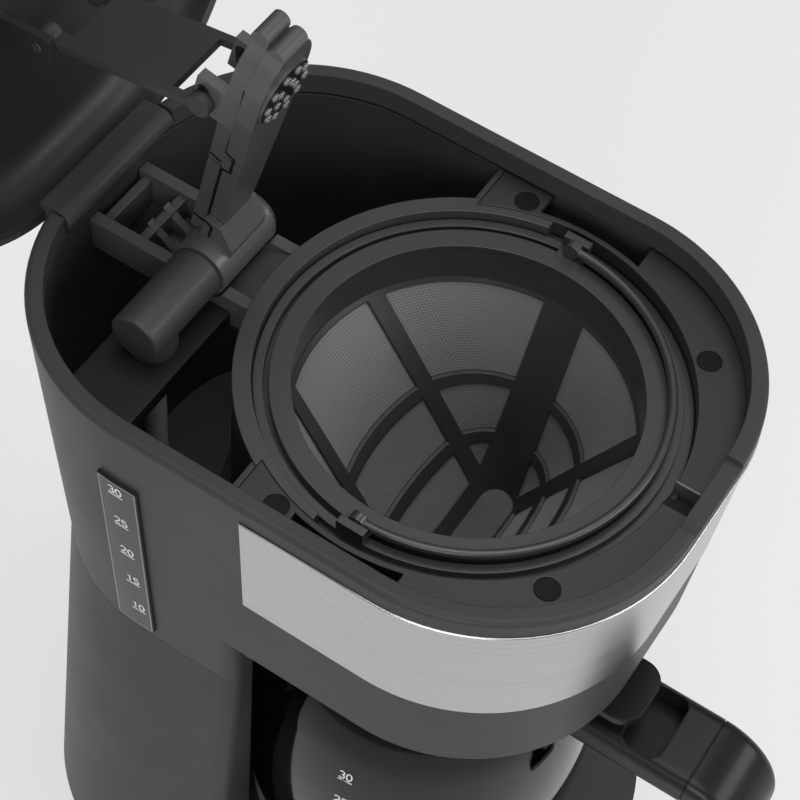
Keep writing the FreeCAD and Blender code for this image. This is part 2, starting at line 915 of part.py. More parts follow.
def duct_hanger(rail_low):
    """The hook under the left rail that carries the end of the water duct."""
    top = duct_top_z - duct_t
    drop = box(-rail_half_x, rail_t - rail_half_x, hanger_front_y, hanger_rear_y, top - hanger_t, rail_low + cut_over)
    ledge = box(-rail_half_x - hanger_reach, rail_t - rail_half_x, hanger_front_y, hanger_rear_y, top - hanger_t, top)
    return joined([drop, ledge])


def bridge_frame():
    low = rail_top_z - rail_h
    rail_in = rail_half_x - rail_t
    rails = both_sides(box(rail_in, rail_half_x, 0, body_rear, low, rail_top_z))
    bars = [box(-rail_half_x, rail_half_x, y, y + cross_bar_t, low, rail_top_z - bar_drop)
            for y in (rear_bar_y, mid_bar_y)]
    panel_front = ring_wall_r - cut_over
    panel = plate_yz([(panel_front, rail_top_z), (panel_rear_y, rail_top_z - panel_fall),
                      (panel_rear_y, rail_top_z - panel_fall - panel_t), (panel_front, rail_top_z - panel_t)],
                     -rail_half_x, rail_half_x)
    gussets = both_sides(plate_yz([(mid_bar_y + cross_bar_t, rail_top_z), (mid_bar_y + cross_bar_t, low),
                                   (mid_bar_y - rail_h, low)], gusset_t, 2 * gusset_t))
    floor = box(-rail_half_x, rail_half_x, mid_bar_y - rail_h, mid_bar_y + cross_bar_t, low, low + panel_t)
    frame = joined(rails + bars + [panel, floor, duct_hanger(low)] + gussets)
    frame = frame.common(tank_inside(seat_gap))
    room = cyl_x(barrel_r + rail_barrel_gap, -far, far, riser_y, pivot_z)
    return frame.cut(room)


def top_deck():
    plate = straight_body(tank_offset + upper_inset(deck_z), deck_z - deck_t, deck_z)
    plate = plate.cut(box(-far, far, tank_front_y - seat_gap, far, 0, rim_z))
    windows = both_sides(box(deck_hole_r - deck_flange_t, far, deck_window_front, deck_window_rear, 0, rim_z))
    for window in windows:
        plate = plate.cut(window)
    flange = tube(deck_hole_r + deck_flange_t, deck_hole_r - cut_over, deck_z - deck_flange_h, deck_z)
    flange = flange.cut(box(-far, far, tank_front_y - seat_gap, far, 0, rim_z))
    bosses = [cyl(plug_r + deck_flange_t, deck_z - deck_boss_h, deck_z, x, y) for x, y in plug_places()]
    deck = joined([plate, flange] + bosses)
    deck = deck.common(upper_body(tank_offset, deck_z - far / 4, deck_z))
    deck = deck.cut(cyl(deck_hole_r, 0, rim_z))
    for x, y in plug_places():
        deck = deck.cut(cyl(plug_r, deck_z - plug_t - deck_screw_head_h, deck_z + cut_over, x, y))
        deck = deck.cut(cyl(deck_screw_r, deck_z - far / 4, deck_z, x, y))
    return deck.cut(box(-latch_pocket_half, latch_pocket_half, -far, 0, deck_z - 2 * deck_t, rim_z))


def plug_places():
    """The middles of the four deck plugs, just outside the deck's round hole."""
    places = []
    for margin, turn in ((rear_plug_margin, rear_plug_deg), (front_plug_margin, front_plug_deg)):
        x = (deck_hole_r + margin) * math.cos(math.radians(turn))
        y = (deck_hole_r + margin) * math.sin(math.radians(turn))
        places += [(x, y), (-x, y)]
    return places


def screw_plugs():
    return Part.makeCompound([cyl(plug_r, deck_z - plug_t, deck_z + plug_proud, x, y) for x, y in plug_places()])


def deck_screws():
    screws = []
    top = deck_z - plug_t
    for x, y in plug_places():
        head = cyl(deck_screw_head_r, top - deck_screw_head_h, top, x, y)
        shank = cyl(deck_screw_r, top - deck_screw_len, top, x, y)
        screws.append(joined([head, shank]))
    return Part.makeCompound(screws)


def basket_holder():
    ledge = tube(holder_r, holder_ledge_r, holder_low_z, holder_ledge_z)
    lip = tube(holder_r, holder_lip_r, holder_low_z, deck_z)
    lip = lip.cut(box(-far, far, -far, holder_lip_y, 0, rim_z))
    flange = tube(ring_wall_r, holder_lip_r, deck_z - holder_flange_t, deck_z)
    flange = flange.cut(box(-far, far, -far, tank_front_y, 0, rim_z))
    return joined([ledge, lip, flange])


def brew_basket():
    low = basket_floor_z
    floor_top = basket_floor_top_z
    rim_low = basket_rim_z - basket_rim_t
    return revolved([
        (nozzle_bore_r, low - nozzle_len), (nozzle_r, low - nozzle_len), (nozzle_r, low), (basket_floor_r, low),
        (basket_body_r, basket_shoulder_z), (basket_body_r, rim_low), (basket_rim_r, rim_low),
        (basket_rim_r, basket_rim_z), (basket_mouth_r, basket_rim_z), (basket_mouth_r, basket_seat_z),
        (basket_seat_r, basket_seat_z), (basket_seat_r, basket_shoulder_z),
        (basket_floor_r - basket_wall, floor_top), (nozzle_bore_r, floor_top)])


def valve_cage():
    floor = basket_floor_top_z
    ring = tube(cage_r, cage_r - cage_t, floor, cage_top_z)
    cap = cyl(cage_r, cage_top_z - cage_cap_t, cage_top_z)
    cage = joined([ring, cap])
    half = cage_slot_w / 2
    low = floor + cage_slot_margin
    high = cage_top_z - cage_cap_t - cage_slot_margin
    slots = joined([box(-far, far, -half, half, low, high), box(-half, half, -far, far, low, high)])
    return cage.cut(slots).cut(cyl(plunger_r + running_gap, 0, cage_top_z + cut_over))


def head_low_z():
    return basket_floor_top_z + plunger_lift


def valve_plunger():
    stem = cyl(plunger_r, carafe_lid_top_z + seat_gap, plunger_top_z)
    head = cyl(plunger_head_r, head_low_z(), head_low_z() + plunger_head_t)
    return joined([stem, head])


def valve_seal():
    return tube(valve_seal_r, plunger_r, head_low_z() - valve_seal_t, head_low_z())


def valve_spring():
    return tube(spring_r, spring_r - spring_t, head_low_z() + plunger_head_t, cage_top_z - cage_cap_t)


def filter_ring(r, z):
    """A round section of the filter, in the same four spans as its narrow foot."""
    turns = [math.radians(t) for t in (-60, 0, 60, 90, 120, 180, 240, 270, 300)]
    points = [vec(r * math.cos(t), r * math.sin(t), z) for t in turns]
    arcs = [Part.Arc(points[i], points[i + 1], points[(i + 2) % 8]).toShape() for i in (0, 2, 4, 6)]
    return Part.Wire(arcs)


def filter_foot(grow, z):
    """The filter's narrow foot: a slot shape along X."""
    half_y = filter_low_half_y + grow
    end = filter_low_half_x + grow - half_y
    low = filter_low_y - half_y
    high = filter_low_y + half_y
    right = Part.Arc(vec(end, low, z), vec(end + half_y, filter_low_y, z), vec(end, high, z)).toShape()
    left = Part.Arc(vec(-end, high, z), vec(-end - half_y, filter_low_y, z), vec(-end, low, z)).toShape()
    rear = Part.LineSegment(vec(end, high, z), vec(-end, high, z)).toShape()
    front = Part.LineSegment(vec(-end, low, z), vec(end, low, z)).toShape()
    return Part.Wire([right, rear, left, front])


def filter_form(grow):
    """The filter's wedge, from its round top to its narrow foot, grown by grow."""
    band = Part.makeLoft([filter_ring(filter_band_r + grow, filter_band_z),
                          filter_ring(filter_top_r + grow, filter_top_z)], True, True)
    wedge = Part.makeLoft([filter_foot(grow, filter_low_z), filter_ring(filter_band_r + grow, filter_band_z)],
                          True, True)
    return joined([wedge, band])


def filter_frame():
    rim_top = filter_rim_z
    rim = revolved([(filter_top_r, filter_top_z - cut_over), (filter_top_r + filter_t, filter_top_z - cut_over),
                    (filter_top_r + filter_t, basket_seat_z), (filter_rim_r, basket_seat_z),
                    (filter_rim_r, rim_top), (filter_rim_in_r, rim_top),
                    (filter_rim_in_r, rim_top - filter_rim_lip_h), (filter_top_r, rim_top - 2 * filter_rim_lip_h)])
    members = [cyl(far / 2, pane_top_z, filter_top_z), cyl(far / 2, filter_low_z, pane_low_z)]
    for share in (high_hoop_share, low_hoop_share):
        middle = pane_low_z + share * (pane_top_z - pane_low_z)
        members.append(cyl(far / 2, middle - hoop_h / 2, middle + hoop_h / 2))
    members += both_sides(box(rib_x - rib_w / 2, rib_x + rib_w / 2, -far, far, filter_low_z, filter_top_z))
    wide_half = wide_rib_w / 2
    members.append(box(-far, far, wide_rib_y - wide_half, wide_rib_y + wide_half, filter_low_z, filter_top_z))
    wall_form = filter_form(filter_t).cut(filter_form(0))
    cone = wall_form.common(members[0].multiFuse(members[1:]))
    floor = Part.Face(filter_foot(filter_t, filter_low_z)).extrude(vec(0, 0, -filter_floor_t))
    ears = []
    ear_in = bail_r + bail_bar_r + ear_gap
    ear_out = ear_in + ear_t
    foot = box(filter_rim_r - ear_foot_in, ear_out, -ear_half_y, ear_half_y, rim_top - ear_foot_t, rim_top + ear_foot_t)
    foot = foot.cut(cyl(basket_rim_r + cut_over, 0, basket_rim_z + ear_gap))
    ear = box(ear_in, ear_out, -ear_half_y, ear_half_y, basket_rim_z + ear_gap, bail_z + ear_over)
    pin = cyl_x(bail_pin_r, bail_r - bail_bar_r, ear_out, 0, bail_z)
    for solid in (foot, ear, pin):
        ears += both_sides(solid)
    return joined([rim, cone, floor] + ears)


def filter_mesh():
    inner = filter_t + mesh_gap
    layer = filter_form(inner + mesh_t).cut(filter_form(inner))
    return layer.common(cyl(far / 2, pane_low_z - mesh_lap, pane_top_z + mesh_lap))


def filter_bail():
    section = Part.Face(Part.Wire(Part.makeCircle(bail_bar_r, vec(bail_r, 0, bail_z), Y_AXIS)))
    bow = section.revolve(vec(0, 0, bail_z), Z_AXIS, -180)
    eyes = both_sides(cyl_x(bail_eye_r, bail_r - bail_bar_r, bail_r + bail_bar_r, 0, bail_z))
    bail = joined([bow] + eyes)
    holes = cyl_x(bail_pin_r + running_gap, -far, far, 0, bail_z)
    return bail.cut(holes)


def raised(shape):
    """Swings the flat arm up about the hub axis to where it stands with the lid open."""
    shape.rotate(arm_pivot, X_AXIS, -arm_raise)
    return shape


def arm_half_at(reach):
    """Half the blade's width at a distance from the hub axis."""
    share = (reach - arm_start) / (head_start - arm_start)
    return arm_half_x + (head_half_x - arm_half_x) * share


def arm_slab(low, high, inset=0.0):
    """The arm's blade, widening towards its head, between two heights over the hub axis."""
    z = pivot_z + low
    sides = []
    for sx in (1, -1):
        sides.append([vec(sx * (arm_half_x - inset), riser_y - arm_start, z),
                      vec(sx * (head_half_x - inset), riser_y - head_start, z),
                      vec(sx * (head_half_x - inset), riser_y - head_end, z),
                      vec(sx * (head_bend_x - inset), riser_y - head_bend, z),
                      vec(sx * (tip_half_x - inset), riser_y - tip_reach, z)])
    right, left = sides
    edges = [Part.LineSegment(left[0], right[0]).toShape()]
    for side in sides:
        edges.append(Part.LineSegment(side[0], side[1]).toShape())
        edges.append(Part.LineSegment(side[1], side[2]).toShape())
        edges.append(Part.Arc(side[2], side[3], side[4]).toShape())
    edges.append(Part.LineSegment(right[4], left[4]).toShape())
    face = Part.Face(Part.Wire(Part.__sortEdges__(edges)))
    return face.extrude(vec(0, 0, high - low))


def nose(r, reach, rise, half):
    """A rolled nose across the arm's tip, open at its +X end."""
    y = riser_y - reach
    z = pivot_z + rise
    return cyl_x(r, -half, half, y, z), cyl_x(r - nose_wall, nose_hole_x, far, y, z)


def side_grooves(low, high, inset, reaches):
    """Short upright grooves in both sides of the arm at the given distances from the hub axis."""
    grooves = []
    for reach in reaches:
        y = riser_y - reach
        half = arm_half_at(reach) - inset - groove_depth
        groove = box(half, far, y - groove_w / 2, y + groove_w / 2, pivot_z + low, pivot_z + high)
        grooves += both_sides(groove)
    return grooves


def spray_places():
    places = []
    for r, count in ((outer_spray_r, outer_spray_count), (inner_spray_r, inner_spray_count)):
        turns = [2 * math.pi * index / count for index in range(count)]
        places += [(r * math.cos(turn), spray_y + r * math.sin(turn)) for turn in turns]
    return places


def arm_heel():
    """The fairing in front of the hub at the foot of the blade."""
    return plate_yz([(riser_y - heel_reach, pivot_z + arm_low), (riser_y - heel_reach, pivot_z + arm_split),
                     (riser_y, pivot_z + arm_split), (riser_y, pivot_z + heel_low),
                     (riser_y - heel_in, pivot_z + heel_low)], -heel_half_x, heel_half_x)


def spray_arm():
    barrel = cyl_x(barrel_r, hub_shoulder_x + barrel_end_gap, journal_end_x - retainer_t - barrel_end_gap,
                   riser_y, pivot_z)
    plate_low = pivot_z + spray_plate_low
    split = pivot_z + arm_split
    plate = cyl(spray_plate_r, plate_low, split, 0, spray_y)
    nub_low = plate_low - spray_nub_h
    nubs = [cyl(spray_nub_r, nub_low, plate_low + water_wall, x, y) for x, y in spray_places()]
    roll, roll_hole = nose(front_nose_r, front_nose_reach, front_nose_rise, tip_half_x)
    arm = joined([arm_slab(arm_low, arm_split), plate, barrel, arm_heel(), roll] + nubs)
    arm = arm.cut(cyl_x(journal_r + running_gap, -far, far, riser_y, pivot_z))
    channel = box(-water_half_x, water_half_x, spray_y, riser_y - barrel_r - water_wall, split - water_depth, split)
    bowl = cyl(spray_plate_r - water_wall, plate_low + water_wall, split, 0, spray_y)
    arm = arm.cut(joined([channel, bowl])).cut(roll_hole)
    for x, y in spray_places():
        arm = arm.cut(cyl(spray_hole_r, nub_low - cut_over, split, x, y))
    for groove in side_grooves(arm_low - cut_over, arm_split, 0, (low_front_groove, high_front_groove)):
        arm = arm.cut(groove)
    return raised(arm)


def spray_arm_cover():
    blade = arm_slab(arm_split, arm_top, cover_step)
    blade = blade.cut(cyl_x(barrel_r + seat_gap, -far, far, riser_y, pivot_z))
    blade = blade.cut(arm_heel())
    roll, roll_hole = nose(back_nose_r, back_nose_reach, back_nose_rise, tip_half_x - cover_step)
    lug_y = riser_y - lug_reach
    lug = box(lug_in_x, lug_out_x, lug_y - lug_front, lug_y + lug_back, pivot_z + arm_split, pivot_z + lug_top)
    cover = joined([blade, roll] + both_sides(lug)).cut(roll_hole)
    slot_r = link_pin_r + slot_gap
    slot_z = pivot_z + lug_rise - slot_drop
    slot_end = lug_y - math.hypot(slot_out, slot_rise)
    middle = box(lug_in_x, far, slot_end, lug_y, slot_z - slot_r, slot_z + slot_r)
    slot = joined([middle] + [cyl_x(slot_r, lug_in_x, far, y, slot_z) for y in (slot_end, lug_y)])
    slot.rotate(vec(0, lug_y, slot_z), X_AXIS, -math.degrees(math.atan2(slot_rise, slot_out)))
    for side in both_sides(slot):
        cover = cover.cut(side)
    for groove in side_grooves(arm_split, arm_top + cut_over, cover_step, (low_back_groove, high_back_groove)):
        cover = cover.cut(groove)
    return raised(cover)


def opened(shape):
    """Swings the closed lid up about its hinge to where the rest pose has it."""
    shape.rotate(lid_pivot, X_AXIS, -lid_open)
    return shape


def lid_form(inset, low_z, top_z, rounding):
    """A rounded-edge block of the lid's outline."""
    block = straight_body(inset, low_z, top_z)
    top_edges = [e for e in block.Edges if all(abs(v.Z - top_z) < 0.01 for v in e.Vertexes)]
    return block.makeFillet(rounding, top_edges)


def lid_cover():
    low = rim_z + lid_gap
    top = low + lid_h
    outside = lid_form(lid_inset, low, top, lid_round)
    inside = lid_form(lid_inset + lid_t, low - cut_over, top - lid_t, lid_round - lid_t)
    shell = outside.cut(inside)
    barrel = cyl_x(hinge_barrel_r, -hinge_half_x, hinge_half_x, hinge_y, hinge_z)
    web_front = hinge_y - hinge_barrel_r
    web = box(-hinge_half_x, hinge_half_x, web_front, hinge_y, hinge_z, low + lid_t)
    wall_web = box(-hinge_half_x, hinge_half_x, hinge_y - cut_over, body_rear,
                   hinge_z + hinge_web_rise, low + lid_t)
    cover = joined([shell, barrel, web, wall_web.common(straight_body(lid_inset, 0, 2 * rim_z))])
    return opened(cover.cut(cyl_x(hinge_pin_r + running_gap, -far, far, hinge_y, hinge_z)))


def link_place():
    """The link's lid pivot with the lid closed, as (y, z)."""
    turn = math.radians(lid_open)
    y = hinge_y + link_back * math.cos(turn) - link_up * math.sin(turn)
    z = hinge_z + link_back * math.sin(turn) + link_up * math.cos(turn)
    return y, z


def lid_liner():
    low = rim_z + lid_gap
    top = low + lid_h - lid_t - liner_gap
    inset = lid_inset + lid_t + liner_gap
    rounding = lid_round - lid_t - liner_gap
    outside = lid_form(inset, low, top, rounding)
    inside = lid_form(inset + liner_t, low - cut_over, top - liner_t, rounding - liner_t)
    shell = outside.cut(inside)
    shell = shell.cut(box(-hinge_half_x - seat_gap, hinge_half_x + seat_gap,
                          hinge_y - hinge_barrel_r - seat_gap, far, 0, low + lid_t + seat_gap))
    y, z = link_place()
    ear = box(bracket_in_x, bracket_in_x + bracket_t, y - bracket_half_y, y + bracket_half_y,
              z - bracket_half_y, top - liner_t + cut_over)
    latch = box(-latch_half_x, latch_half_x, latch_front_y, latch_rear_y, latch_low_z, top - liner_t)
    liner = joined([shell, latch] + both_sides(ear))
    return opened(liner.cut(cyl_x(link_pin_r, -far, far, y, z)))


def link_pins():
    y, z = link_place()
    pin = cyl_x(link_pin_r, link_mid_half_x + seat_gap, bracket_in_x + bracket_t, y, z)
    return opened(Part.makeCompound(both_sides(pin)))


def lift_link():
    lean = math.radians(90 - arm_raise)
    pin_y = riser_y - lug_reach * math.sin(lean) + lug_rise * math.cos(lean)
    pin_z = pivot_z + lug_reach * math.cos(lean) + lug_rise * math.sin(lean)
    lid_y = hinge_y + link_back
    lid_z = hinge_z + link_up
    length = math.hypot(lid_y - pin_y, pin_z - lid_z)
    tilt = math.degrees(math.atan2(pin_z - lid_z, lid_y - pin_y))
    half_t = link_t / 2
    web = box(-link_half_x, link_half_x, -link_web_end, -link_web_start, -half_t, half_t)
    rear_arms = both_sides(box(link_mid_half_x + seat_gap, link_half_x, -link_web_end, 0, -half_t, half_t))
    prongs = both_sides(box(prong_in_x, link_half_x, -length, -link_web_start, -half_t, half_t))
    rear_eyes = both_sides(cyl_x(link_eye_r, link_mid_half_x + seat_gap, link_half_x, 0, 0))
    front_eyes = both_sides(cyl_x(link_eye_r, prong_in_x, link_half_x, -length, 0))
    pins = both_sides(cyl_x(link_pin_r, lug_in_x + seat_gap, link_half_x, -length, 0))
    link = joined([web] + rear_arms + prongs + rear_eyes + front_eyes + pins)
    link = link.cut(cyl_x(link_pin_r + running_gap, -far, far, 0, 0))
    link.rotate(vec(0, 0, 0), X_AXIS, -tilt)
    link.translate(vec(0, lid_y, lid_z))
    return link


def glass_form(inset):
    """The carafe's round form, drawn in by inset: base bend, long side bend, shoulder and neck."""
    low = carafe_low_z + inset
    belly_z = carafe_low_z + belly_rise
    side_x = belly_r - side_bend_r
    base_z = carafe_low_z + base_bend_r
    reach = side_bend_r - base_bend_r
    base_x = side_x + math.sqrt(reach ** 2 - (belly_z - base_z) ** 2)
    shoulder_turn = math.asin(shoulder_rise / side_bend_r)
    reach = side_bend_r - shoulder_bend_r
    top_x = side_x + reach * math.cos(shoulder_turn)
    top_z = belly_z + reach * math.sin(shoulder_turn)
    base_turn = math.atan2(base_z - belly_z, base_x - side_x)
    neck = neck_r - inset
    neck_turn = math.acos((neck - top_x) / (shoulder_bend_r - inset))
    bends = ((base_x, base_z, base_bend_r, -math.pi / 2, base_turn),
             (side_x, belly_z, side_bend_r, base_turn, shoulder_turn),
             (top_x, top_z, shoulder_bend_r, shoulder_turn, neck_turn))
    edges = [Part.LineSegment(vec(0, 0, low), vec(base_x, 0, low)).toShape()]
    for x, z, bend, start, end in bends:
        turns = (start, (start + end) / 2, end)
        points = [vec(x + (bend - inset) * math.cos(t), 0, z + (bend - inset) * math.sin(t)) for t in turns]
        edges.append(Part.Arc(*points).toShape())
    shoulder_end = points[-1]
    top = lip_z + inset
    corners = [shoulder_end, vec(neck, 0, top), vec(0, 0, top), vec(0, 0, low)]
    edges += Part.makePolygon(corners).Edges
    return Part.Face(Part.Wire(edges)).revolve(vec(0, 0, 0), Z_AXIS, 360)


def carafe_glass():
    return glass_form(0).cut(glass_form(glass_t))


def carafe_collar():
    ring = tube(collar_r + collar_t, collar_r, collar_low_z, collar_high_z)
    ears = both_sides(box(lid_lug_half_x + seat_gap, ear_half_x, carafe_pin_y - lug_half_y,
                          collar_bite - collar_r, collar_low_z, collar_high_z))
    drop_y = handle_root_y + seat_gap
    tongue = box(-tongue_half_x, tongue_half_x, tongue_end_y, drop_y + strut_drop, tongue_low_z, tongue_high_z)
    strut = box(-tongue_half_x, tongue_half_x, drop_y, -collar_r - cut_over, collar_low_z, collar_low_z + strut_t)
    drop = box(-tongue_half_x, tongue_half_x, drop_y, drop_y + strut_drop, tongue_low_z, collar_low_z + strut_t)
    collar = joined([ring, tongue, strut, drop] + ears)
    collar = collar.cut(cyl(collar_r, 0, rim_z))
    collar = collar.cut(cyl_x(carafe_pin_r, -far, far, carafe_pin_y, carafe_pin_z))
    return collar.cut(cyl(collar_screw_r, 0, rim_z, 0, collar_screw_y))


def carafe_lid():
    top = carafe_lid_top_z
    disc = cyl(carafe_lid_r, carafe_lid_z, top)
    plug = tube(lid_plug_r, lid_plug_r - lid_plug_t, carafe_lid_z - lid_plug_h, carafe_lid_z + cut_over)
    tab = rounded_box(-tab_half_x, tab_half_x, tab_end_y, -carafe_lid_r / 2, carafe_lid_z, top, tab_round)
    lug = box(-lid_lug_half_x, lid_lug_half_x, carafe_pin_y - lug_half_y, carafe_pin_y + lug_half_y,
              carafe_pin_z - lug_half_y, carafe_lid_z + cut_over)
    lug = lug.cut(cyl(collar_r + collar_t + seat_gap, 0, carafe_lid_z))
    lid = joined([disc, plug, tab, lug])
    dish = tube(lid_dish_r, pusher_r, top - lid_dish_depth, top + cut_over)
    lid = lid.cut(dish)
    for index in range(drain_count):
        turn = 2 * math.pi * index / drain_count
        lid = lid.cut(cyl(drain_r, 0, rim_z, drain_ring_r * math.cos(turn), drain_ring_r * math.sin(turn)))
    return lid.cut(cyl_x(carafe_pin_r, -far, far, carafe_pin_y, carafe_pin_z))


def carafe_lid_pin():
    return cyl_x(carafe_pin_r, -ear_half_x, ear_half_x, carafe_pin_y, carafe_pin_z)


def handle_seam(top, under):
    """The fine groove round the handle's top bar where its two halves meet."""
    start = handle_seam_y - handle_seam_w / 2
    end = handle_seam_y + handle_seam_w / 2
    half = handle_half_x - handle_seam_depth
    around = box(-far, far, start, end, under - cut_over, top + cut_over)
    core = box(-half, half, start - cut_over, end + cut_over, under + handle_seam_depth, top - handle_seam_depth)
    lengthwise = [e for e in core.Edges if abs(e.tangentAt(e.FirstParameter).y) > 0.9]
    return around.cut(core.makeFillet(handle_round - handle_seam_depth, lengthwise))


def carafe_handle():
    top = handle_top_z
    under = top - handle_bar_t
    inner_y = handle_front_y + grip_t
    bar = box(-handle_half_x, handle_half_x, handle_front_y, handle_root_y, handle_low_z, top)
    gap = box(-far, far, inner_y, 0, 0, under)
    inner_corner = [e for e in gap.Edges
                    if all(abs(v.Y - inner_y) < 0.01 and abs(v.Z - under) < 0.01 for v in e.Vertexes)]
    handle = bar.cut(gap.makeFillet(handle_inner_bend_r, inner_corner))
    outer_corner = [e for e in handle.Edges
                    if all(abs(v.Y - handle_front_y) < 0.01 and abs(v.Z - top) < 0.01 for v in e.Vertexes)]
    handle = handle.makeFillet(handle_bend_r, outer_corner)
    sides = [e for e in handle.Edges
             if all(abs(abs(v.X) - handle_half_x) < 0.01 for v in e.Vertexes) and e.BoundBox.XLength < 0.01
             and e.BoundBox.YMax < handle_root_y - 0.01]
    handle = handle.makeFillet(handle_round, sides)
    recess = rounded_box(-recess_half_x, recess_half_x, recess_front_y, recess_rear_y, top - recess_depth,
                         top + cut_over, recess_round)
    handle = handle.cut(recess).cut(handle_seam(top, under))
    handle = handle.cut(box(-tongue_half_x, tongue_half_x, tongue_end_y, 0, tongue_low_z, tongue_high_z))
    handle = handle.cut(cyl(collar_screw_r, tongue_low_z - far, tongue_high_z, 0, collar_screw_y))
    return handle.cut(cyl(collar_screw_head_r, 0, under + collar_screw_head_h, 0, collar_screw_y))


def handle_cap():
    floor = handle_top_z - recess_depth
    return rounded_box(-recess_half_x, recess_half_x, recess_front_y, recess_rear_y, floor, floor + cap_t,
                       recess_round)


def collar_screw():
    under = handle_top_z - handle_bar_t
    head = cyl(collar_screw_head_r, under, under + collar_screw_head_h, 0, collar_screw_y)
    return joined([head, cyl(collar_screw_r, under, tongue_high_z, 0, collar_screw_y)])


def power_button():
    button = cyl_y(button_r, button_face_y, button_face_y + button_len, 0, button_z)
    face_edge = [e for e in button.Edges if abs(e.BoundBox.YMax - button_face_y) < 0.01]
    return button.makeFillet(button_round, face_edge)


def button_bezel():
    flange = cyl_y(bezel_r, bezel_face_y, bezel_face_y + bezel_flange_t, 0, button_z)
    sleeve = cyl_y(bezel_sleeve_r, bezel_face_y, bezel_rear_y, 0, button_z)
    return joined([flange, sleeve]).cut(cyl_y(button_r + button_gap, -far, far, 0, button_z))


def switch_body():
    front = button_face_y + button_len + switch_gap
    return cyl_y(button_r + button_gap, front, bezel_rear_y, 0, button_z)


def indicator_lens():
    face = lower_inset(lens_z) - body_front - lens_proud
    return cyl_y(lens_r, face, face + lens_len, 0, lens_z)


def cord_gland():
    face = body_rear - lower_inset(gland_z) + wall_lean_gap
    flange = cyl_y(gland_flange_r, face, face + gland_flange_t, 0, gland_z)
    sleeve = cyl_y(gland_r, face + gland_flange_t - gland_len, face + gland_flange_t, 0, gland_z)
    return joined([flange, sleeve]).cut(cyl_y(gland_bore_r, 0, far, 0, gland_z))


nodes = (
    upper_housing, steel_band, gauge_window, lower_housing, base_plate, base_screws, rubber_feet,
    hot_plate, hot_plate_seal, heating_element, boiler_tube, heater_strap, thermostat, inlet_hose, riser_hose,
    water_tank, tank_grommets, check_valve, riser_tube, water_duct, swivel_hub, hub_seal, hub_retainer,
    bridge_frame, top_deck, screw_plugs, deck_screws, basket_holder, brew_basket, valve_cage, valve_plunger,
    valve_seal, valve_spring, filter_frame, filter_mesh, filter_bail, spray_arm, spray_arm_cover, lift_link,
    link_pins, lid_cover, lid_liner, hinge_pins, carafe_glass, carafe_collar, carafe_lid, carafe_lid_pin,
    carafe_handle, handle_cap, collar_screw, power_button, button_bezel, switch_body, indicator_lens, cord_gland,
)

os.makedirs("parts", exist_ok=True)
for node in nodes:
    shape = node()
    shape.translate(vec(0, brew_y, 0))
    name = node.__name__
    shape.exportStep("parts/" + name + ".step")
    print(name, "solids", len(shape.Solids), "valid", shape.isValid(), "volume", round(shape.Volume))
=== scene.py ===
import math

import bmesh
import bpy
from mathutils import Matrix, Vector
from mathutils.bvhtree import BVHTree


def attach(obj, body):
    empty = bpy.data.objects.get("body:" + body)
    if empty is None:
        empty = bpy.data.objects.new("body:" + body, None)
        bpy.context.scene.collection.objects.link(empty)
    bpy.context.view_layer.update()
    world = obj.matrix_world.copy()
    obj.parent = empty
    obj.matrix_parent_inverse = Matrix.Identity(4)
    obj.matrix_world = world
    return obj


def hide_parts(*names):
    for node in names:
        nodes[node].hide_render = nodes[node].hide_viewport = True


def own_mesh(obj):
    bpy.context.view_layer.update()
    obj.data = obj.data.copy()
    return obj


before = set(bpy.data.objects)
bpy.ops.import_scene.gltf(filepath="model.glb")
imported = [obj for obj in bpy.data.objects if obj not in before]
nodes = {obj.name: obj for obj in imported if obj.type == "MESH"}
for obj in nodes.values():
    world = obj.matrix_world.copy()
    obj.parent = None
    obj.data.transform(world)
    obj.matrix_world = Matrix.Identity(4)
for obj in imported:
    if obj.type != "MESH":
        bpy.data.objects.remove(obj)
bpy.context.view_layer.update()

# Sizes of pieces are in millimetres and places are measured from the brew axis.
# Shader lengths, the coil, the floor, the lights and the camera are in metres.

MM = 0.001
UP = Vector((0, 0, 1))
BREW_Y = -0.0201          # the brew axis in the part's frame, in metres


def brew(x, y, z):
    """A point in millimetres about the brew axis, in the part's frame."""
    return Vector((x * MM, y * MM + BREW_Y, z * MM))


# Shader helpers

def shader(name):
    """A new material with a Principled shader."""
    mat = bpy.data.materials.new(name)
    mat.use_nodes = True
    tree = mat.node_tree
    tree.nodes.clear()
    out = tree.nodes.new("ShaderNodeOutputMaterial")
    bsdf = tree.nodes.new("ShaderNodeBsdfPrincipled")
    tree.links.new(bsdf.outputs["BSDF"], out.inputs["Surface"])
    return mat, tree, bsdf


def place(tree, scale=(1, 1, 1)):
    """Object coordinates, stretched by scale."""
    coord = tree.nodes.new("ShaderNodeTexCoord")
    mapping = tree.nodes.new("ShaderNodeMapping")
    mapping.inputs["Scale"].default_value = scale
    tree.links.new(coord.outputs["Object"], mapping.inputs["Vector"])
    return mapping.outputs["Vector"]


def noise(tree, vector, scale, detail=2.0, rough=0.5):
    node = tree.nodes.new("ShaderNodeTexNoise")
    node.inputs["Scale"].default_value = scale
    node.inputs["Detail"].default_value = detail
    node.inputs["Roughness"].default_value = rough
    tree.links.new(vector, node.inputs["Vector"])
    return node.outputs["Fac"]


def wave(tree, vector, direction, scale):
    node = tree.nodes.new("ShaderNodeTexWave")
    node.bands_direction = direction
    node.inputs["Scale"].default_value = scale
    tree.links.new(vector, node.inputs["Vector"])
    return node.outputs["Fac"]


def math_node(tree, operation, first, second):
    """One arithmetic step between two sockets, or a socket and a number."""
    node = tree.nodes.new("ShaderNodeMath")
    node.operation = operation
    for socket, value in zip(node.inputs, (first, second)):
        if isinstance(value, (int, float)):
            socket.default_value = value
        else:
            tree.links.new(value, socket)
    return node.outputs["Value"]


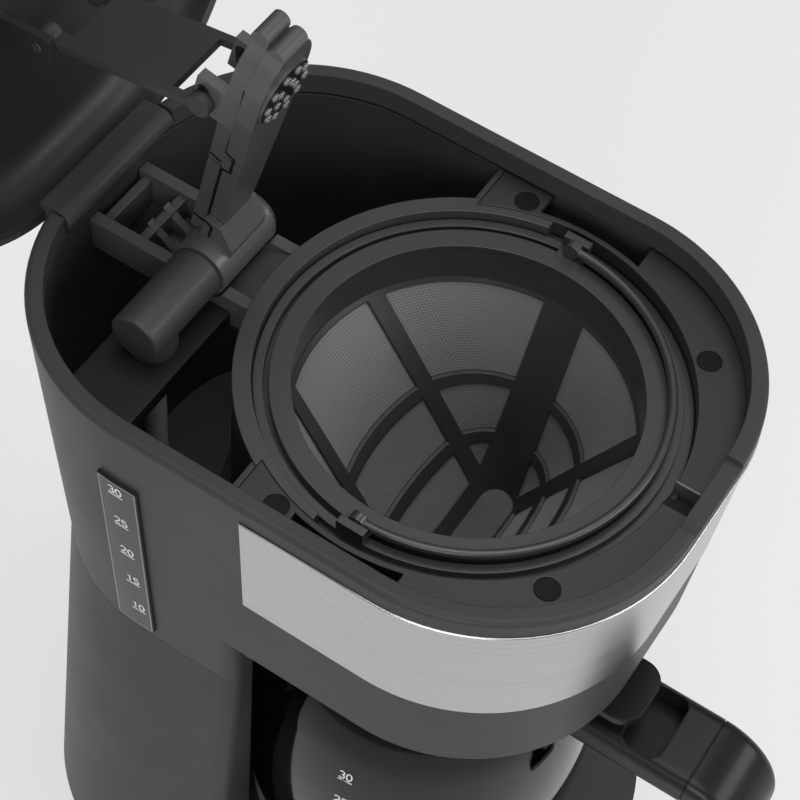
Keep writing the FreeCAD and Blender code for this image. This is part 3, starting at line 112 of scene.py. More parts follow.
def ramp(tree, fac, low, high, start=0.3, end=0.7):
    """A colour that goes from low to high as fac goes from start to end."""
    node = tree.nodes.new("ShaderNodeValToRGB")
    node.color_ramp.elements[0].position = start
    node.color_ramp.elements[0].color = (*low, 1)
    node.color_ramp.elements[1].position = end
    node.color_ramp.elements[1].color = (*high, 1)
    tree.links.new(fac, node.inputs["Fac"])
    return node.outputs["Color"]


def span(tree, fac, low, high):
    """A number that goes from low to high as fac goes from 0 to 1."""
    node = tree.nodes.new("ShaderNodeMapRange")
    node.inputs["To Min"].default_value = low
    node.inputs["To Max"].default_value = high
    tree.links.new(fac, node.inputs["Value"])
    return node.outputs["Result"]


def soft_edge(tree, radius):
    """Normals that round off sharp edges, so that they catch the light."""
    node = tree.nodes.new("ShaderNodeBevel")
    node.samples = 4
    node.inputs["Radius"].default_value = radius
    return node.outputs["Normal"]


def bump(tree, height, strength, distance, normal=None):
    node = tree.nodes.new("ShaderNodeBump")
    node.inputs["Strength"].default_value = strength
    node.inputs["Distance"].default_value = distance
    tree.links.new(height, node.inputs["Height"])
    if normal is not None:
        tree.links.new(normal, node.inputs["Normal"])
    return node.outputs["Normal"]


def mottled(tree, fac, colour, spread):
    """A colour that goes a little below and above its own tone."""
    low = tuple(c * (1 - spread) for c in colour)
    high = tuple(c * (1 + spread) for c in colour)
    return ramp(tree, fac, low, high)


def grey(level):
    return (level, level, level)


# Materials

PLASTIC_GLOSS_CHANGE = 0.05
METAL_GLOSS_CHANGE = 0.08
COAT_ROUGH = 0.14


def plastic(name, colour, rough, grain=2200.0, depth=0.00005, strength=0.3, spread=0.1, edge=0.0006,
            shine=0.5, coat=0.0):
    """Moulded plastic: a fine grain, small changes of tone and gloss, and edges that catch the light."""
    mat, tree, bsdf = shader(name)
    where = place(tree)
    broad = noise(tree, where, scale=14.0, detail=3.0)
    tree.links.new(mottled(tree, broad, colour, spread), bsdf.inputs["Base Color"])
    patch = noise(tree, where, scale=45.0)
    gloss = span(tree, patch, rough - PLASTIC_GLOSS_CHANGE, rough + PLASTIC_GLOSS_CHANGE)
    tree.links.new(gloss, bsdf.inputs["Roughness"])
    fine = noise(tree, where, scale=grain, rough=0.6)
    rounded = soft_edge(tree, edge)
    tree.links.new(bump(tree, fine, strength, depth, rounded), bsdf.inputs["Normal"])
    bsdf.inputs["Specular IOR Level"].default_value = shine
    if coat:
        bsdf.inputs["Coat Weight"].default_value = coat
        bsdf.inputs["Coat Roughness"].default_value = COAT_ROUGH
        tree.links.new(rounded, bsdf.inputs["Coat Normal"])
    return mat


def metal(name, colour, rough, grain=900.0, depth=0.00004, spread=0.12, edge=0.0004):
    """Plain metal with a cast or plated skin."""
    mat, tree, bsdf = shader(name)
    where = place(tree)
    broad = noise(tree, where, scale=30.0, detail=3.0, rough=0.6)
    tree.links.new(mottled(tree, broad, colour, spread), bsdf.inputs["Base Color"])
    patch = noise(tree, where, scale=120.0)
    gloss = span(tree, patch, rough - METAL_GLOSS_CHANGE, rough + METAL_GLOSS_CHANGE)
    tree.links.new(gloss, bsdf.inputs["Roughness"])
    fine = noise(tree, where, scale=grain, detail=3.0, rough=0.6)
    skin_normal = bump(tree, fine, strength=0.3, distance=depth, normal=soft_edge(tree, edge))
    tree.links.new(skin_normal, bsdf.inputs["Normal"])
    bsdf.inputs["Metallic"].default_value = 1.0
    return mat


def brushed_steel(name):
    """Stainless sheet, brushed along its length."""
    mat, tree, bsdf = shader(name)
    lines = noise(tree, place(tree, (5, 5, 1600)), scale=1.0, detail=3.0, rough=0.65)
    cloud = noise(tree, place(tree, (9, 9, 60)), scale=1.0)
    tree.links.new(ramp(tree, lines, grey(0.44), grey(0.54)), bsdf.inputs["Base Color"])
    rough = math_node(tree, "ADD", span(tree, lines, 0.25, 0.33), span(tree, cloud, -0.03, 0.03))
    tree.links.new(rough, bsdf.inputs["Roughness"])
    tree.links.new(bump(tree, lines, strength=0.12, distance=0.00003), bsdf.inputs["Normal"])
    tangent = tree.nodes.new("ShaderNodeTangent")
    tangent.direction_type = "RADIAL"
    tangent.axis = "Z"
    tree.links.new(tangent.outputs["Tangent"], bsdf.inputs["Tangent"])
    bsdf.inputs["Metallic"].default_value = 1.0
    bsdf.inputs["Anisotropic"].default_value = 0.6
    return mat


def woven_mesh(name, threads):
    """Fine nylon filter cloth: threads across and down."""
    mat, tree, bsdf = shader(name)
    where = place(tree)
    geometry = tree.nodes.new("ShaderNodeNewGeometry")
    split = tree.nodes.new("ShaderNodeSeparateXYZ")
    tree.links.new(geometry.outputs["Normal"], split.inputs["Vector"])
    across_x = math_node(tree, "ABSOLUTE", split.outputs["X"], 0.0)
    across_y = math_node(tree, "ABSOLUTE", split.outputs["Y"], 0.0)
    side_on = math_node(tree, "GREATER_THAN", across_x, across_y)
    front_on = math_node(tree, "SUBTRACT", 1.0, side_on)
    along_y = math_node(tree, "MULTIPLY", wave(tree, where, "Y", threads), side_on)
    along_x = math_node(tree, "MULTIPLY", wave(tree, where, "X", threads), front_on)
    along = math_node(tree, "ADD", along_y, along_x)
    weave = math_node(tree, "MAXIMUM", along, wave(tree, where, "Z", threads))
    slub = noise(tree, where, scale=60.0, detail=3.0, rough=0.6)
    height = math_node(tree, "ADD", weave, math_node(tree, "MULTIPLY", slub, 0.3))
    tone = ramp(tree, height, (0.042, 0.043, 0.043), (0.150, 0.152, 0.152), start=0.25, end=1.1)
    tree.links.new(tone, bsdf.inputs["Base Color"])
    tree.links.new(bump(tree, height, strength=0.5, distance=0.00008), bsdf.inputs["Normal"])
    bsdf.inputs["Roughness"].default_value = 0.55
    bsdf.inputs["Sheen Weight"].default_value = 0.3
    return mat


def clear(name, colour, weight, ior, rough, ripple):
    """Clear plastic or glass with a slightly uneven skin."""
    mat, tree, bsdf = shader(name)
    where = place(tree)
    patch = noise(tree, where, scale=40.0)
    tree.links.new(span(tree, patch, rough, rough + 0.03), bsdf.inputs["Roughness"])
    swell = noise(tree, where, scale=18.0, detail=1.0)
    uneven = bump(tree, swell, strength=0.05, distance=ripple, normal=soft_edge(tree, 0.0007))
    tree.links.new(uneven, bsdf.inputs["Normal"])
    bsdf.inputs["Base Color"].default_value = (*colour, 1)
    bsdf.inputs["Transmission Weight"].default_value = weight
    bsdf.inputs["IOR"].default_value = ior
    return mat


def coated_plate(name):
    """Black non-stick coat with fine pale flecks."""
    mat, tree, bsdf = shader(name)
    where = place(tree)
    fleck = noise(tree, where, scale=900.0, rough=0.7)
    tone = ramp(tree, fleck, grey(0.014), grey(0.11), start=0.62, end=0.72)
    tree.links.new(tone, bsdf.inputs["Base Color"])
    tree.links.new(span(tree, noise(tree, where, scale=70.0), 0.3, 0.45), bsdf.inputs["Roughness"])
    rough_skin = bump(tree, fleck, strength=0.25, distance=0.00005, normal=soft_edge(tree, 0.0008))
    tree.links.new(rough_skin, bsdf.inputs["Normal"])
    return mat


def print_white(name):
    """Printed white ink, a little thin in places."""
    mat, tree, bsdf = shader(name)
    thin = noise(tree, place(tree), scale=700.0, rough=0.6)
    tone = ramp(tree, thin, grey(0.62), grey(0.8), start=0.3, end=0.6)
    tree.links.new(tone, bsdf.inputs["Base Color"])
    tree.links.new(bump(tree, thin, strength=0.2, distance=0.00002), bsdf.inputs["Normal"])
    bsdf.inputs["Roughness"].default_value = 0.5
    return mat


body_plastic = plastic("body_plastic", (0.043, 0.0435, 0.0435), 0.46, edge=0.0008, shine=0.12, coat=0.06)
inner_plastic = plastic("inner_plastic", (0.034, 0.035, 0.036), 0.5, grain=2800.0, strength=0.2,
                        shine=0.35, coat=0.05)
arm_plastic = plastic("arm_plastic", (0.062, 0.063, 0.064), 0.4, grain=2800.0, strength=0.2,
                      edge=0.0002, coat=0.2)
lid_plastic = plastic("lid_plastic", (0.020, 0.021, 0.022), 0.48, grain=2800.0, strength=0.18,
                      shine=0.4, coat=0.03)
tank_plastic = plastic("tank_plastic", (0.027, 0.027, 0.0265), 0.45, grain=2400.0, shine=0.35)
duct_plastic = plastic("duct_plastic", (0.008, 0.0078, 0.0075), 0.45, grain=2400.0, shine=0.3)
deck_plastic = plastic("deck_plastic", (0.019, 0.0195, 0.0195), 0.42, grain=2400.0, shine=0.4, coat=0.15)
# Glossy domes catch real highlights; their paler colour paints in part of the glint
nozzle_gloss_and_painted_glint = plastic("nozzle_gloss_and_painted_glint", (0.11, 0.111, 0.112), 0.18, strength=0.1, edge=0.0002,
                         shine=0.8, coat=1.0)
# Pale grey for the line round the gauge window: a painted highlight on its edges
gauge_highlight_plastic = plastic("gauge_highlight_plastic", (0.17, 0.172, 0.172), 0.3, strength=0.1, edge=0.0001)
# Near-black: painted shade for the arm's seam grooves, and the dark field round the nozzles
seam_shade_and_dark_field = plastic("seam_shade_and_dark_field", grey(0.006), 0.45, edge=0.0001, shine=0.2)
# Paler than the deck: painted light on the latch pocket's lit wall
lining_with_painted_light = plastic("lining_with_painted_light", (0.060, 0.061, 0.061), 0.3, edge=0.0004, coat=0.5)
bridge_plastic = plastic("bridge_plastic", (0.055, 0.056, 0.056), 0.42, grain=2400.0, coat=0.15)
basket_plastic = plastic("basket_plastic", (0.029, 0.030, 0.030), 0.36, grain=2600.0, strength=0.2,
                         edge=0.0005, coat=0.35)
filter_plastic = plastic("filter_plastic", (0.025, 0.0255, 0.0255), 0.40, grain=2600.0, strength=0.2,
                         edge=0.0005, coat=0.35)
base_plastic = plastic("base_plastic", grey(0.022), 0.5, grain=1500.0, strength=0.4)
carafe_plastic = plastic("carafe_plastic", (0.010, 0.0102, 0.0102), 0.34, grain=2800.0, strength=0.12,
                         edge=0.0012, shine=0.18, coat=0.12)
handle_inset = plastic("handle_inset", grey(0.006), 0.4, grain=2000.0, shine=0.3)
plug_plastic = plastic("plug_plastic", (0.004, 0.0041, 0.0041), 0.5, grain=2000.0, shine=0.15)
riser_plastic = plastic("riser_plastic", (0.80, 0.80, 0.79), 0.38, grain=2000.0, strength=0.15)
button_plastic = plastic("button_plastic", grey(0.020), 0.3, strength=0.15, coat=0.3)
rubber = plastic("rubber", grey(0.014), 0.75, grain=700.0, depth=0.0001, strength=0.5)
silicone = plastic("silicone", (0.30, 0.29, 0.27), 0.5, grain=500.0, depth=0.00008, strength=0.3)
steel_trim = brushed_steel("steel_trim")
polished_steel = metal("polished_steel", grey(0.56), 0.2, depth=0.00001, spread=0.04)
mesh_nylon = woven_mesh("mesh_nylon", threads=330.0)
gauge_clear = clear("gauge_clear", (0.040, 0.041, 0.041), weight=0.3, ior=1.3, rough=0.25, ripple=0.0002)
carafe_clear = clear("carafe_clear", (0.30, 0.305, 0.30), weight=1.0, ior=1.33, rough=0.0, ripple=0.0004)
lens_plastic = clear("lens_plastic", (0.75, 0.30, 0.06), weight=0.5, ior=1.49, rough=0.2, ripple=0.0002)
plate_coat = coated_plate("plate_coat")
heater_metal = metal("heater_metal", (0.52, 0.51, 0.49), 0.45, depth=0.0001)
fastener_steel = metal("fastener_steel", (0.58, 0.57, 0.54), 0.32)
white_ink = print_white("white_ink")


def set_material(mat, *names):
    for name in names:
        mesh = nodes[name].data
        mesh.materials.clear()
        mesh.materials.append(mat)


set_material(body_plastic, "upper_housing", "lower_housing", "lid_cover")
set_material(lid_plastic, "lid_liner")
set_material(tank_plastic, "water_tank")
set_material(duct_plastic, "water_duct")
set_material(deck_plastic, "top_deck")
set_material(bridge_plastic, "bridge_frame")
set_material(arm_plastic, "spray_arm", "spray_arm_cover")
set_material(inner_plastic, "lift_link", "swivel_hub", "hub_retainer", "switch_body")
set_material(basket_plastic, "brew_basket", "basket_holder", "valve_cage", "valve_plunger")
set_material(filter_plastic, "filter_frame", "filter_bail")
set_material(base_plastic, "base_plate", "cord_gland")
set_material(carafe_plastic, "carafe_collar", "carafe_lid", "carafe_handle")
set_material(handle_inset, "handle_cap")
set_material(plug_plastic, "screw_plugs")
set_material(riser_plastic, "riser_tube", "check_valve")
set_material(button_plastic, "power_button", "button_bezel")
set_material(rubber, "rubber_feet")
set_material(silicone, "hot_plate_seal", "inlet_hose", "riser_hose", "tank_grommets", "hub_seal",
             "valve_seal")
set_material(steel_trim, "steel_band")
set_material(mesh_nylon, "filter_mesh")
set_material(gauge_clear, "gauge_window")
set_material(carafe_clear, "carafe_glass")
set_material(lens_plastic, "indicator_lens")
set_material(plate_coat, "hot_plate")
set_material(heater_metal, "heating_element", "boiler_tube", "heater_strap", "thermostat")
set_material(fastener_steel, "base_screws", "deck_screws", "link_pins", "hinge_pins", "carafe_lid_pin",
             "collar_screw")


# Mesh helpers

def piece(name, bm, mat, body, smooth=True):
    """A finished piece from a bmesh, on its body and with its slot."""
    mesh = bpy.data.meshes.new(name)
    bmesh.ops.recalc_face_normals(bm, faces=bm.faces)
    bm.to_mesh(mesh)
    bm.free()
    for face in mesh.polygons:
        face.use_smooth = smooth
    mesh.materials.append(mat)
    obj = bpy.data.objects.new(name, mesh)
    bpy.context.scene.collection.objects.link(obj)
    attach(obj, body)
    return obj


def skin(bm, loops):
    """Faces from each loop of points to the next, and over both ends."""
    count = len(loops[0])
    for here, there in zip(loops, loops[1:]):
        for index in range(count):
            following = (index + 1) % count
            bm.faces.new((here[index], here[following], there[following], there[index]))
    bm.faces.new(loops[0])
    bm.faces.new(reversed(loops[-1]))


def sweep(bm, path, ring):
    """Carries a ring of (side, up) offsets along a path of points with their side and up directions."""
    loops = []
    for point, side, up in path:
        loops.append([bm.verts.new(point + side * a + up * b) for a, b in ring])
    skin(bm, loops)


def circle(r, count=10):
    turns = [2 * math.pi * index / count for index in range(count)]
    return [(r * math.cos(turn), r * math.sin(turn)) for turn in turns]


def in_metres(ring):
    return [(a * MM, b * MM) for a, b in ring]


def caster(node):
    """A finder of points on a CAD node's surface."""
    bm = bmesh.new()
    bm.from_mesh(nodes[node].data)
    tree = BVHTree.FromBMesh(bm)
    bm.free()
    return tree


# Printed numbers

FIGURES = ("30", "25", "20", "15", "10")
STROKE_FOOT = -0.02       # heights of a line's foot and top above the surface
STROKE_TOP = 0.06
DIGIT_STEP = 0.70         # the next three are shares of a digit's height
DIGIT_MARGIN = 0.05
UNDERLINE_DROP = 0.26


def arc(cx, cy, rx, ry, start, end, count=12):
    turns = [math.radians(start + (end - start) * index / count) for index in range(count + 1)]
    return [(cx + rx * math.cos(turn), cy + ry * math.sin(turn)) for turn in turns]


# Lines of each digit, in shares of its height
DIGITS = {
    "0": [arc(0.30, 0.50, 0.25, 0.46, 90, 450, 24)],
    "1": [[(0.10, 0.76), (0.34, 0.96), (0.34, 0.04)]],
    "2": [arc(0.30, 0.70, 0.24, 0.26, 165, -38) + [(0.06, 0.04), (0.56, 0.04)]],
    "3": [arc(0.28, 0.74, 0.23, 0.22, 150, -90) + arc(0.28, 0.27, 0.26, 0.25, 90, -150)],
    "5": [[(0.52, 0.96), (0.13, 0.96), (0.09, 0.54)] + arc(0.28, 0.32, 0.26, 0.28, 115, -145)],
}


def stroke(bm, points, width, lay):
    """A thin raised line along (u, v) points; lay puts (u, v, height) on a surface."""
    half = width / 2
    loops = []
    for index, (u, v) in enumerate(points):
        before = points[max(index - 1, 0)]
        after = points[min(index + 1, len(points) - 1)]
        du = after[0] - before[0]
        dv = after[1] - before[1]
        length = math.hypot(du, dv) or 1.0
        su = -dv / length * half
        sv = du / length * half
        section = (
            (su, sv, STROKE_FOOT),
            (su, sv, STROKE_TOP),
            (-su, -sv, STROKE_TOP),
            (-su, -sv, STROKE_FOOT),
        )
        loops.append([bm.verts.new(lay(u + a, v + b, height)) for a, b, height in section])
    skin(bm, loops)


def number(bm, text, size, width, lay):
    """A number centred on u = 0 that stands on v = 0, with a line under it."""
    step = DIGIT_STEP * size
    start = -step * len(text) / 2 + DIGIT_MARGIN * size
    for index, digit in enumerate(text):
        for line in DIGITS[digit]:
            stroke(bm, [(start + index * step + u * size, v * size) for u, v in line], width, lay)
    half = step * len(text) / 2
    low = -UNDERLINE_DROP * size
    stroke(bm, [(-half, low), (half, low)], width, lay)


# Numbers on the water gauge; each stands a little further forward than the one above it

GAUGE_DIGIT_H = 4.2
GAUGE_LINE_W = 0.6
GAUGE_FIRST_Y = 79.3
GAUGE_FIRST_Z = 306.8
GAUGE_FORWARD_STEP = 0.8
GAUGE_DOWN_STEP = 20.1
LEFT_OF_BODY_X = -140.0

window = caster("gauge_window")


def on_gauge(y, z):
    """Lays figures on the gauge window's face about a point."""
    def lay(u, v, height):
        found = window.ray_cast(brew(LEFT_OF_BODY_X, y - u, z + v), Vector((1, 0, 0)))
        return found[0] + found[1] * height * MM
    return lay


bm = bmesh.new()
for index, text in enumerate(FIGURES):
    figure_y = GAUGE_FIRST_Y - GAUGE_FORWARD_STEP * index
    figure_z = GAUGE_FIRST_Z - GAUGE_DOWN_STEP * index
    number(bm, text, GAUGE_DIGIT_H, GAUGE_LINE_W, on_gauge(figure_y, figure_z))
piece("gauge_numbers", bm, white_ink, "housing", smooth=False)


# A pale raised line round the gauge window: a painted highlight on the window's edges

GAUGE_Y = 78.5
GAUGE_HALF = 8.0
GAUGE_LOW = 213.0
GAUGE_HIGH = 314.0
EDGE_IN = 0.6
EDGE_W = 0.55


def steps_between(start, end, count=12):
    return [tuple(a + (b - a) * index / count for a, b in zip(start, end)) for index in range(count + 1)]


edge_reach = GAUGE_HALF - EDGE_IN
edge_top = GAUGE_HIGH - GAUGE_LOW - EDGE_IN
corners = [(-edge_reach, EDGE_IN), (edge_reach, EDGE_IN), (edge_reach, edge_top), (-edge_reach, edge_top)]
bm = bmesh.new()
for start, end in zip(corners, corners[1:] + corners[:1]):
    stroke(bm, steps_between(start, end), EDGE_W, on_gauge(GAUGE_Y, GAUGE_LOW))
# The pale line is a painted highlight on the window's edges
piece("gauge_edge_highlight", bm, gauge_highlight_plastic, "housing", smooth=False)


# Numbers on the carafe

CARAFE_DIGIT_H = 4.3
CARAFE_LINE_W = 0.62
CARAFE_TURN = math.radians(-174.6)
CARAFE_FIRST_Z = 155.0
CARAFE_DOWN_STEP = 17.0
CARAFE_R = 68.0
OUTSIDE_CARAFE_R = 120.0

glass = caster("carafe_glass")


def on_glass(turn, z):
    """Lays figures on the carafe's outside about a point."""
    def lay(u, v, height):
        angle = turn + u / CARAFE_R
        out = Vector((math.cos(angle), math.sin(angle), 0))
        start = brew(0, 0, z + v) + out * (OUTSIDE_CARAFE_R * MM)
        found = glass.ray_cast(start, -out)
        return found[0] + found[1] * height * MM
    return lay


bm = bmesh.new()
for index, text in enumerate(FIGURES):
    figure_z = CARAFE_FIRST_Z - CARAFE_DOWN_STEP * index
    number(bm, text, CARAFE_DIGIT_H, CARAFE_LINE_W, on_glass(CARAFE_TURN, figure_z))
piece("carafe_numbers", bm, white_ink, "carafe", smooth=False)


# Rolled edge along the top of the steel band

BODY_HALF = 90.3
BODY_FRONT = 91.8
BODY_CORNER_R = 73.5
BODY_TOP_Z = 345.0
BODY_TAPER = 8.0          # how far the sides lean in over BODY_TAPER_H, downwards from the top
BODY_TAPER_H = 138.0
BAND_TOP_Z = 336.0
BAND_END_Y = 29.4
BEAD_R = 0.65
BEAD_STAND = 0.15


def front_outline(inset, z, start_y, steps=24):
    """The body's outline round the front, with its outward directions."""
    half = BODY_HALF - inset
    front = BODY_FRONT - inset
    r = BODY_CORNER_R - inset
    points = [((-half, start_y), (-1, 0))]
    for index in range(steps + 1):
        turn = math.pi + math.pi / 2 * index / steps
        out = (math.cos(turn), math.sin(turn))
        points.append(((r * out[0] - half + r, r * out[1] - front + r), out))
    for (x, y), out in reversed(list(points)):
        points.append(((-x, y), (-out[0], out[1])))
    return [(brew(x, y, z), Vector((*out, 0))) for (x, y), out in points]


bead_inset = BODY_TAPER * (BODY_TOP_Z - BAND_TOP_Z) / BODY_TAPER_H - BEAD_STAND
bead_path = [(point, out, UP) for point, out in front_outline(bead_inset, BAND_TOP_Z, BAND_END_Y)]
bm = bmesh.new()
sweep(bm, bead_path, in_metres(circle(BEAD_R)))
piece("band_edge", bm, polished_steel, "housing")


# Latch pocket in the deck: a wall with a rounded lip, and a floor that rises from its foot to the deck

LATCH_X = 5.45
LATCH_Z = 334.5
LATCH_ENDS_Y = (-84.2, -75.2)
# Outlines across the pocket: inward from LATCH_X and up from LATCH_Z
LIP_OUTLINE = [
    (0.0, -7.0), (0.0, 0.0), (0.25, 0.35), (0.65, 0.45), (1.05, 0.35), (1.25, 0.0), (1.25, -7.0),
]
FLOOR_OUTLINE = [
    (0.6, -8.0), (0.6, -6.5), (3.5, -5.2), (7.5, -2.4), (10.0, -0.5), (10.5, -0.2), (10.5, -8.0),
]

latch_path = [(brew(LATCH_X, y, LATCH_Z), Vector((-1, 0, 0)), UP) for y in LATCH_ENDS_Y]
bm = bmesh.new()
sweep(bm, latch_path, in_metres(LIP_OUTLINE))
# The wall's paler colour is painted light on its lit face; the rounded lip is real
piece("latch_wall", bm, lining_with_painted_light, "housing", smooth=False)

bm = bmesh.new()
sweep(bm, latch_path, in_metres(FLOOR_OUTLINE))
piece("latch_floor", bm, deck_plastic, "housing", smooth=False)


# Rounded ends of the spray nozzles, and the dark field that they stand on

HUB_Y = 98.7
HUB_Z = 335.5
ARM_RAISED = math.radians(-77.0)
NOZZLE_REACH = 90.0
NOZZLE_RINGS = ((9.6, 10), (4.8, 5))        # radius and count of nozzles
# Radius and rise from a nozzle's foot, over its rounded end and into its hole
NOZZLE_OUTLINE = ((1.55, -1.5), (1.55, -2.3), (1.4, -2.62), (1.05, -2.8), (0.7, -2.72), (0.55, -2.3))
NOZZLE_SIDES = 16
FIELD_R = 11.6
FIELD_RISES = (-1.3, -1.46)
FIELD_SIDES = 48

arm_pivot = brew(0, HUB_Y, HUB_Z)
arm_turn = Matrix.Rotation(ARM_RAISED, 3, "X")


def on_arm(x, reach, rise):
    """A point on the raised spray arm, from its place across, along and above the hub axis."""
    return arm_pivot + arm_turn @ (Vector((x, -reach, rise)) * MM)


bm = bmesh.new()
for ring_r, count in NOZZLE_RINGS:
    for x, short in circle(ring_r, count):
        loops = []
        for r, rise in NOZZLE_OUTLINE:
            rim = circle(r, NOZZLE_SIDES)
            loops.append([bm.verts.new(on_arm(x + a, NOZZLE_REACH - short + b, rise)) for a, b in rim])
        skin(bm, loops)
# The nozzle ends' paler colour is a painted glint, added to their real gloss
piece("nozzle_ends", bm, nozzle_gloss_and_painted_glint, "arm")

bm = bmesh.new()
loops = []
for rise in FIELD_RISES:
    rim = circle(FIELD_R, FIELD_SIDES)
    loops.append([bm.verts.new(on_arm(x, NOZZLE_REACH - short, rise)) for x, short in rim])
skin(bm, loops)
piece("nozzle_field", bm, seam_shade_and_dark_field, "arm", smooth=False)


# Painted shade in the seams where the arm's two halves clip together: near-black lines stand for the dark
# of the grooves

ARM_START = 6.0
ARM_HALF = 7.0
HEAD_START = 80.0
HEAD_HALF = 12.5
ARM_SPLIT = 6.0
SPLIT_MARGIN = 0.7
COVER_STEP = 0.7
HEEL_REACH = 19.5
HEEL_HALF = 10.0
SEAM_SHADE_W = 1.1
# Each line from end to end, as places along and above the hub axis
SEAM_SHADE_LINES = [
    [(94.5, 6.2), (61.0, 6.2)],        # from the head back to the middle clip
    [(60.6, 6.4), (59.6, 2.6)],        # round the middle clip
    [(60.0, 2.7), (51.0, 2.7)],
    [(51.3, 2.5), (50.3, 6.2)],
    [(50.6, 6.0), (19.7, 6.0)],        # on to the heel
    [(18.7, 6.0), (17.4, 2.6)],        # round the clip at the heel
    [(17.8, 2.7), (11.5, 2.7)],
    [(53.6, 11.6), (52.4, 7.0)],       # up the cover above each clip
    [(13.4, 11.6), (12.6, 7.0)],
]


def on_arm_side(side):
    """Lays lines on one side of the arm, from their places along and above the hub axis."""
    def lay(reach, rise, height):
        share = min((reach - ARM_START) / (HEAD_START - ARM_START), 1.0)
        half = ARM_HALF + (HEAD_HALF - ARM_HALF) * share
        if rise > ARM_SPLIT + SPLIT_MARGIN:
            half -= COVER_STEP
        elif reach < HEEL_REACH:
            half = HEEL_HALF
        return on_arm(side * (half + height), reach, rise)
    return lay


bm = bmesh.new()
for side_x in (-1, 1):
    for line in SEAM_SHADE_LINES:
        stroke(bm, line, SEAM_SHADE_W, on_arm_side(side_x))
# Painted shade: dark lines where the seam grooves fall in shade
piece("arm_seam_shade", bm, seam_shade_and_dark_field, "arm", smooth=False)


# Coil of the drip valve's spring, built at the length of the CAD sleeve that it replaces; the real spring
# shortens as the carafe pushes the valve up, but this coil keeps one length

COIL_WIRE_R = 0.45 * MM
COIL_TURNS = 3
COIL_STEPS = 32
COIL_GAP = 0.02 * MM

spring_points = [vert.co for vert in nodes["valve_spring"].data.vertices]
spring_low = min(point.z for point in spring_points) + COIL_GAP
spring_high = max(point.z for point in spring_points) - COIL_GAP
spring_length = spring_high - spring_low
coil_r = max(point.x for point in spring_points) - COIL_WIRE_R
coil_rise = spring_length - 2 * COIL_WIRE_R
coil_path = []
for index in range(COIL_TURNS * COIL_STEPS + 1):
    share = index / (COIL_TURNS * COIL_STEPS)
    coil_turn = 2 * math.pi * COIL_TURNS * share
    outward = Vector((math.cos(coil_turn), math.sin(coil_turn), 0))
    middle = brew(0, 0, 0) + Vector((0, 0, spring_low + COIL_WIRE_R + coil_rise * share))
    coil_path.append((middle + outward * coil_r, outward, UP))
bm = bmesh.new()
sweep(bm, coil_path, circle(COIL_WIRE_R))
valve_coil = piece("valve_coil", bm, fastener_steel, "basket")
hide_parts("valve_spring")
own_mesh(valve_coil)


# Floor and world

FLOOR_HALF = 6.0
FLOOR_COLOUR = grey(0.77)
FLOOR_GLOW = grey(0.86)
GLOW_SHARE = 0.65
WORLD_COLOUR = (0.83, 0.83, 0.84, 1)
WORLD_STRENGTH = 0.38


def floor_material(name, colour, glow, share):
    """A pale floor that looks evenly lit, also in metal and glass, and keeps a soft shadow."""
    mat, tree, bsdf = shader(name)
    bsdf.inputs["Base Color"].default_value = (*colour, 1)
    bsdf.inputs["Roughness"].default_value = 0.9
    path = tree.nodes.new("ShaderNodeLightPath")
    rays = path.outputs
    mirrored = math_node(tree, "MAXIMUM", rays["Is Glossy Ray"], rays["Is Transmission Ray"])
    seen = math_node(tree, "MAXIMUM", rays["Is Camera Ray"], mirrored)
    even = tree.nodes.new("ShaderNodeEmission")
    even.inputs["Color"].default_value = (*glow, 1)
    mix = tree.nodes.new("ShaderNodeMixShader")
    tree.links.new(math_node(tree, "MULTIPLY", seen, share), mix.inputs["Fac"])
    tree.links.new(bsdf.outputs["BSDF"], mix.inputs[1])
    tree.links.new(even.outputs["Emission"], mix.inputs[2])
    out = next(node for node in tree.nodes if node.type == "OUTPUT_MATERIAL")
    tree.links.new(mix.outputs["Shader"], out.inputs["Surface"])
    return mat


floor_mesh = bpy.data.meshes.new("floor")
floor_corners = [(x * FLOOR_HALF, y * FLOOR_HALF, 0) for x, y in ((-1, -1), (1, -1), (1, 1), (-1, 1))]
floor_mesh.from_pydata(floor_corners, [], [(0, 1, 2, 3)])
floor = bpy.data.objects.new("floor", floor_mesh)
bpy.context.scene.collection.objects.link(floor)
floor_mesh.materials.append(floor_material("floor", FLOOR_COLOUR, FLOOR_GLOW, GLOW_SHARE))

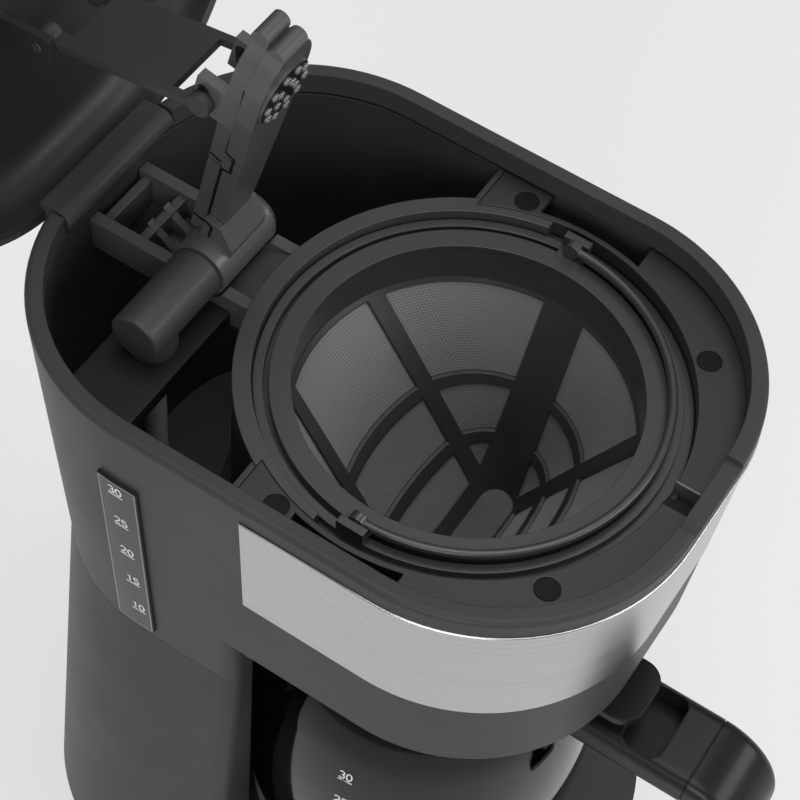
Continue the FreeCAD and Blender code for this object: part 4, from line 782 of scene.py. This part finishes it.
world = bpy.data.worlds.new("studio")
world.use_nodes = True
backdrop = world.node_tree.nodes["Background"]
backdrop.inputs["Color"].default_value = WORLD_COLOUR
backdrop.inputs["Strength"].default_value = WORLD_STRENGTH
bpy.context.scene.world = world


# Lights

LIGHT_TARGET = Vector((0, 0, 0.3))


def area_light(name, place_at, size, power):
    """A rectangular lamp that faces the part."""
    light = bpy.data.lights.new(name, "AREA")
    light.shape = "RECTANGLE"
    light.size = size[0]
    light.size_y = size[1]
    light.energy = power
    lamp = bpy.data.objects.new(name, light)
    lamp.location = place_at
    lamp.rotation_euler = (LIGHT_TARGET - Vector(place_at)).to_track_quat("-Z", "Y").to_euler()
    bpy.context.scene.collection.objects.link(lamp)


area_light("key", place_at=(-2.7, -0.9, 1.7), size=(1.8, 1.4), power=40)
area_light("top", place_at=(0.1, -0.1, 2.4), size=(1.8, 1.8), power=27)
area_light("front", place_at=(0.5, -1.9, 1.3), size=(1.6, 0.7), power=18)


# Camera, at the photograph's viewing angle

AZIMUTH = math.radians(-62.752)
ELEVATION = math.radians(54.938)
ROLL = math.radians(6.912)
CAMERA_PLACE = (-0.37602, -0.16866 + BREW_Y, 0.90449)
SENSOR_W = 36.0           # the sensor and the lens are in millimetres
LENS = 96.03

flat = math.cos(ELEVATION)
back = Vector((math.sin(AZIMUTH) * flat, -math.cos(AZIMUTH) * flat, math.sin(ELEVATION)))
level_right = (-back).cross(UP).normalized()
level_up = level_right.cross(-back)
camera_right = math.cos(ROLL) * level_right + math.sin(ROLL) * level_up
camera_up = -math.sin(ROLL) * level_right + math.cos(ROLL) * level_up
camera_turn = Matrix((camera_right, camera_up, back)).transposed().to_4x4()
camera_data = bpy.data.cameras.new("camera")
camera_data.sensor_width = SENSOR_W
camera_data.lens = LENS
camera_data.clip_start = 0.01
camera_data.clip_end = 50.0
camera = bpy.data.objects.new("camera", camera_data)
camera.matrix_world = Matrix.Translation(CAMERA_PLACE) @ camera_turn
bpy.context.scene.collection.objects.link(camera)
bpy.context.scene.camera = camera
bpy.context.scene.view_settings.view_transform = "Standard"
